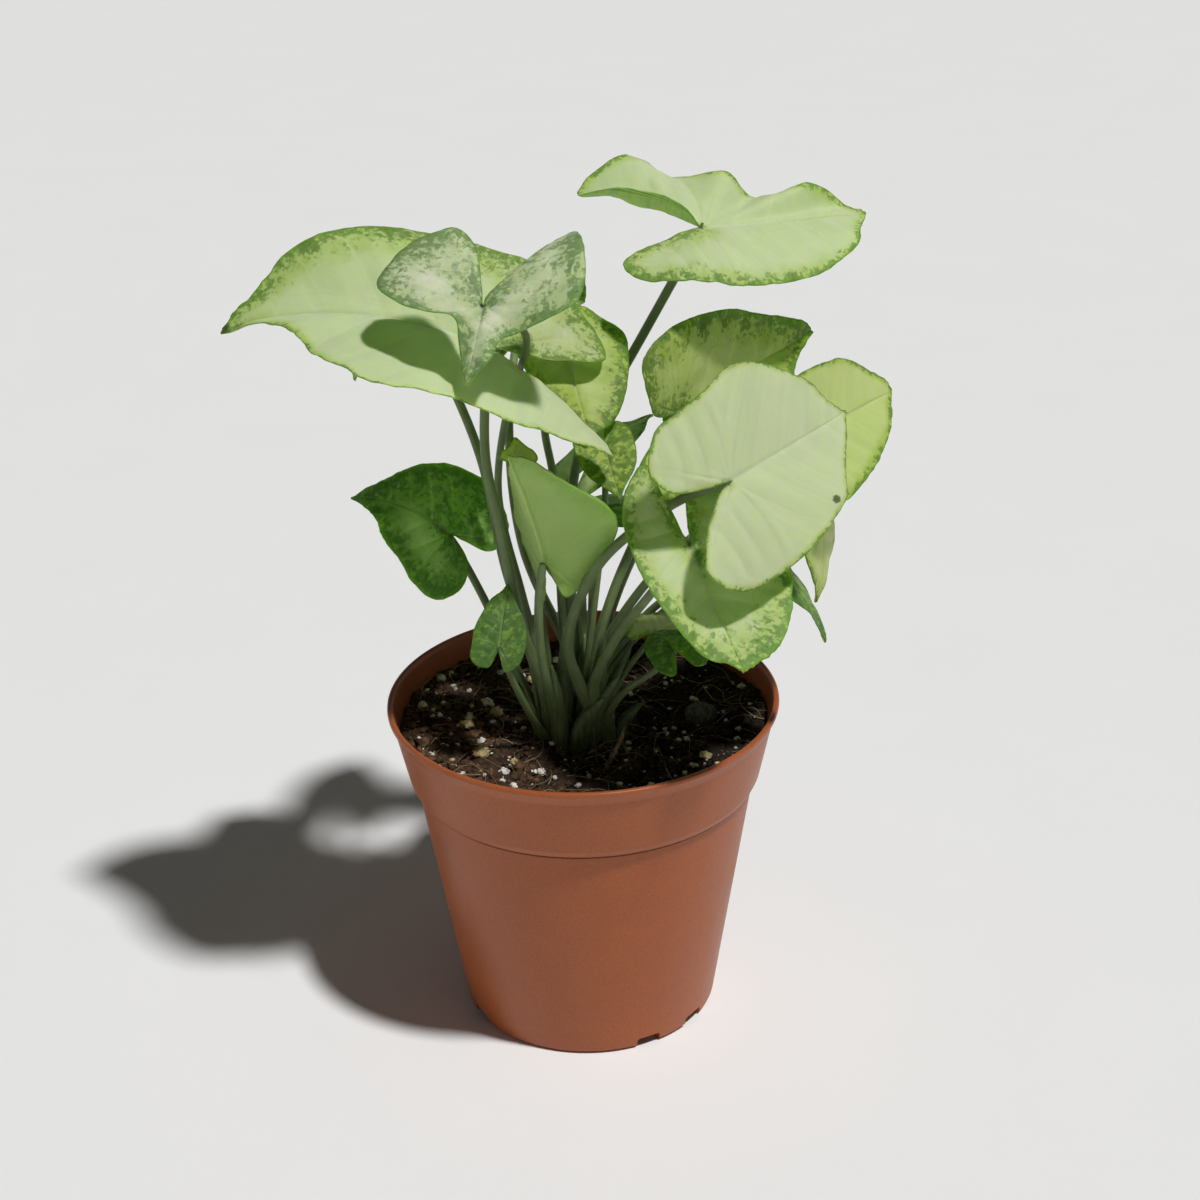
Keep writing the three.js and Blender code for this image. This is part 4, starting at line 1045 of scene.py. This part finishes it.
def through(points, steps):
    """Evenly spaced points of a centripetal Catmull-Rom curve through points."""
    points = np.asarray(points, float)
    held = np.vstack([2 * points[0] - points[1], points, 2 * points[-1] - points[-2]])
    line = []
    for p0, p1, p2, p3 in zip(held, held[1:], held[2:], held[3:]):
        d0, d1, d2 = (math.sqrt(np.linalg.norm(b - a)) for a, b in ((p0, p1), (p1, p2), (p2, p3)))
        leave = ((p1 - p0) / d0 - (p2 - p0) / (d0 + d1) + (p2 - p1) / d1) * d1
        arrive = ((p2 - p1) / d1 - (p3 - p1) / (d1 + d2) + (p3 - p2) / d2) * d1
        line += [eased(p1, p2, leave, arrive, s) for s in np.linspace(0, 1, 24, endpoint=False)]
    line = np.array(line + [points[-1]])
    run = np.concatenate([[0], np.cumsum(np.linalg.norm(np.diff(line, axis=0), axis=1))])
    even = np.linspace(0, run[-1], steps)
    return np.stack([np.interp(even, run, line[:, i]) for i in range(3)], 1)


def stalk_mesh(leaf, foot):
    """A stalk's points, faces and field: how far up it each point is, and how far round. Its
    sheath spreads into a thin wing on each side."""
    sides, steps = 26, 72
    end = np.array(leaf["joint"]) - STALK_UNDER_BLADE * blade_axes(leaf)[2]
    path = through([(*foot, CROWN_TOP - 8), *leaf["stalk"], end], steps)
    along = np.linspace(0, 1, len(path))
    s = along[:, None, None]
    angles = np.linspace(0, 2 * math.pi, sides, endpoint=False)
    from_inner = np.minimum(angles, 2 * math.pi - angles)[:, None]
    slim = min(1.0, 0.5 + leaf["tip"] / 100)
    sheath = np.exp(-(s / 0.22) ** 2)
    widening = (STALK_FOOT_RADIUS - STALK_TOP_RADIUS) * (0.35 * (1 - s) + 0.65 * sheath)
    radii = slim * (STALK_TOP_RADIUS + widening) * (1 - 0.3 * np.exp(-((s - 1) / 0.02) ** 2))
    groove = (0.1 + 0.3 * sheath) * np.exp(-(from_inner / 0.5) ** 2)
    wings = 0.8 * np.exp(-((s - 0.13) / 0.13) ** 2 - ((from_inner - 1.3) / 0.35) ** 2)
    third = path[len(path) // 3]
    inner = np.array([foot[0] - third[0], foot[1] - third[1] + 3, 0])
    points, faces = swept(path, radii * (1 - groove + wings), sides, inner / np.linalg.norm(inner))
    up = np.concatenate([np.repeat(along, sides), [0, 1]])
    about = np.concatenate([np.tile(np.sin(angles), len(path)), [0, 0]])
    length = np.linalg.norm(np.diff(path, axis=0), axis=1).sum()
    return points, faces, np.stack([up, about, up * length], 1)


# The foot, the tip and the radius of each rolled sheath that stands among the stalks.
SHEATHS = [
    ((-3, -18), (6, -21, 115), 2.9),
    ((1, -17), (11, -20, 122), 2.5),
    ((-7, -18), (-9, -20, 126), 2.5),
    ((-6, -14), (-5, -11, 134), 2.5),
    ((3, -13), (7, -10, 130), 2.4),
    ((5, -12), (15, -7, 126), 2.3),
    ((-12, -14), (-20, -13, 117), 2.1),
    ((9, -14), (18, -13, 109), 2.0),
    ((-1, -9), (1, -4, 128), 2.4),
]


def build_sheaths(skin):
    rolls = []
    spiral = 1 + 0.22 * np.linspace(0, 1, 20)[:, None]
    for (x, y), tip, radius in SHEATHS:
        middle = (0.7 * x + 0.3 * tip[0], 0.7 * y + 0.3 * tip[1], 0.45 * tip[2] + 0.55 * SOIL_TOP)
        path = through([(x, y, SOIL_TOP - 6), middle, tip], 24)
        girth = np.interp(np.linspace(0, 1, 24), (0, 0.35, 0.7, 0.9, 1), (0.85, 1, 0.8, 0.4, 0.06))
        points, faces = swept(path, radius * girth[:, None, None] * spiral, 20)
        up = (points[:, 2] - SOIL_TOP) / (tip[2] - SOIL_TOP)
        around = np.arctan2(points[:, 1] - y, points[:, 0] - x)
        rolls.append((points, faces, np.stack([up, np.sin(around), points[:, 2]], 1)))
    points, faces, stem = joined(rolls)
    sheaths = mesh_object("leaf_sheaths", points, faces, skin, stem=stem)
    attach(sheaths, "root")


def stalk_skin():
    """A smooth juicy stalk, green with fine lengthwise ribs, darkened to olive brown towards its
    foot: partly the sheaths' own colour and partly painted shade from the leaves above."""
    material, add = surface("stalk_skin", IOR=1.42, Subsurface_Weight=0.25,
                            Subsurface_Radius=(0.8, 1.2, 0.4), Subsurface_Scale=MM)
    stem = add("SeparateXYZ", add("Attribute", attribute_name="stem").outputs["Vector"]).outputs
    place = add("TexCoord").outputs["Object"]
    mottle = add("TexNoise", place, 1 / (5 * MM), 3)
    colour = add("Mix", mottle, linear("#52693A"), linear("#7E925F"))
    # Painted shade: the colour darkens to olive brown from 165 mm down to 102 mm, partly the
    # sheaths' own brown and partly the shade of the leaves above.
    height = add("SeparateXYZ", place).outputs["Z"]
    painted_foot_shade = add("MapRange", height, 102 * MM, 165 * MM, 0.92, 0)
    colour = add("Mix", painted_foot_shade, colour, linear("#39431F"))
    about = add("Math", stem["Y"], 9, operation="MULTIPLY")
    run = add("Math", stem["Z"], 0.12, operation="MULTIPLY")
    streak = add("TexNoise", add("CombineXYZ", X=about, Z=run), 1, 2)
    pale = add("MapRange", streak, 0.45, 0.75, 0, 0.35)
    colour = add("Mix", pale, colour, linear("#86985F"))
    rough = add("MapRange", mottle, 0.3, 0.7, 0.42, 0.56)
    bump = add("Bump", 0.35, 0.12 * MM, Height=streak)
    return feed(material, Base_Color=colour, Roughness=rough, Normal=bump)


def build_shoots():
    skin = stalk_skin()
    for name, foot in SHOOT_FEET.items():
        crown = [(*foot, z) for z in np.linspace(CROWN_FOOT, CROWN_TOP + 2, 10)]
        points, faces = swept(crown, np.linspace(3.4, 2.2, 10), 20)
        parts = [(points, faces, (points - (0, 0, CROWN_FOOT)) * (0, 0, 1))]
        parts += [stalk_mesh(leaf, foot) for leaf in LEAVES if leaf["shoot"] == name]
        points, faces, stem = joined(parts)
        shoot = mesh_object("stalks_" + name, points, faces, skin, stem=stem)
        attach(shoot, "root")
        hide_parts("shoot_" + name)
    build_sheaths(skin)


build_shoots()
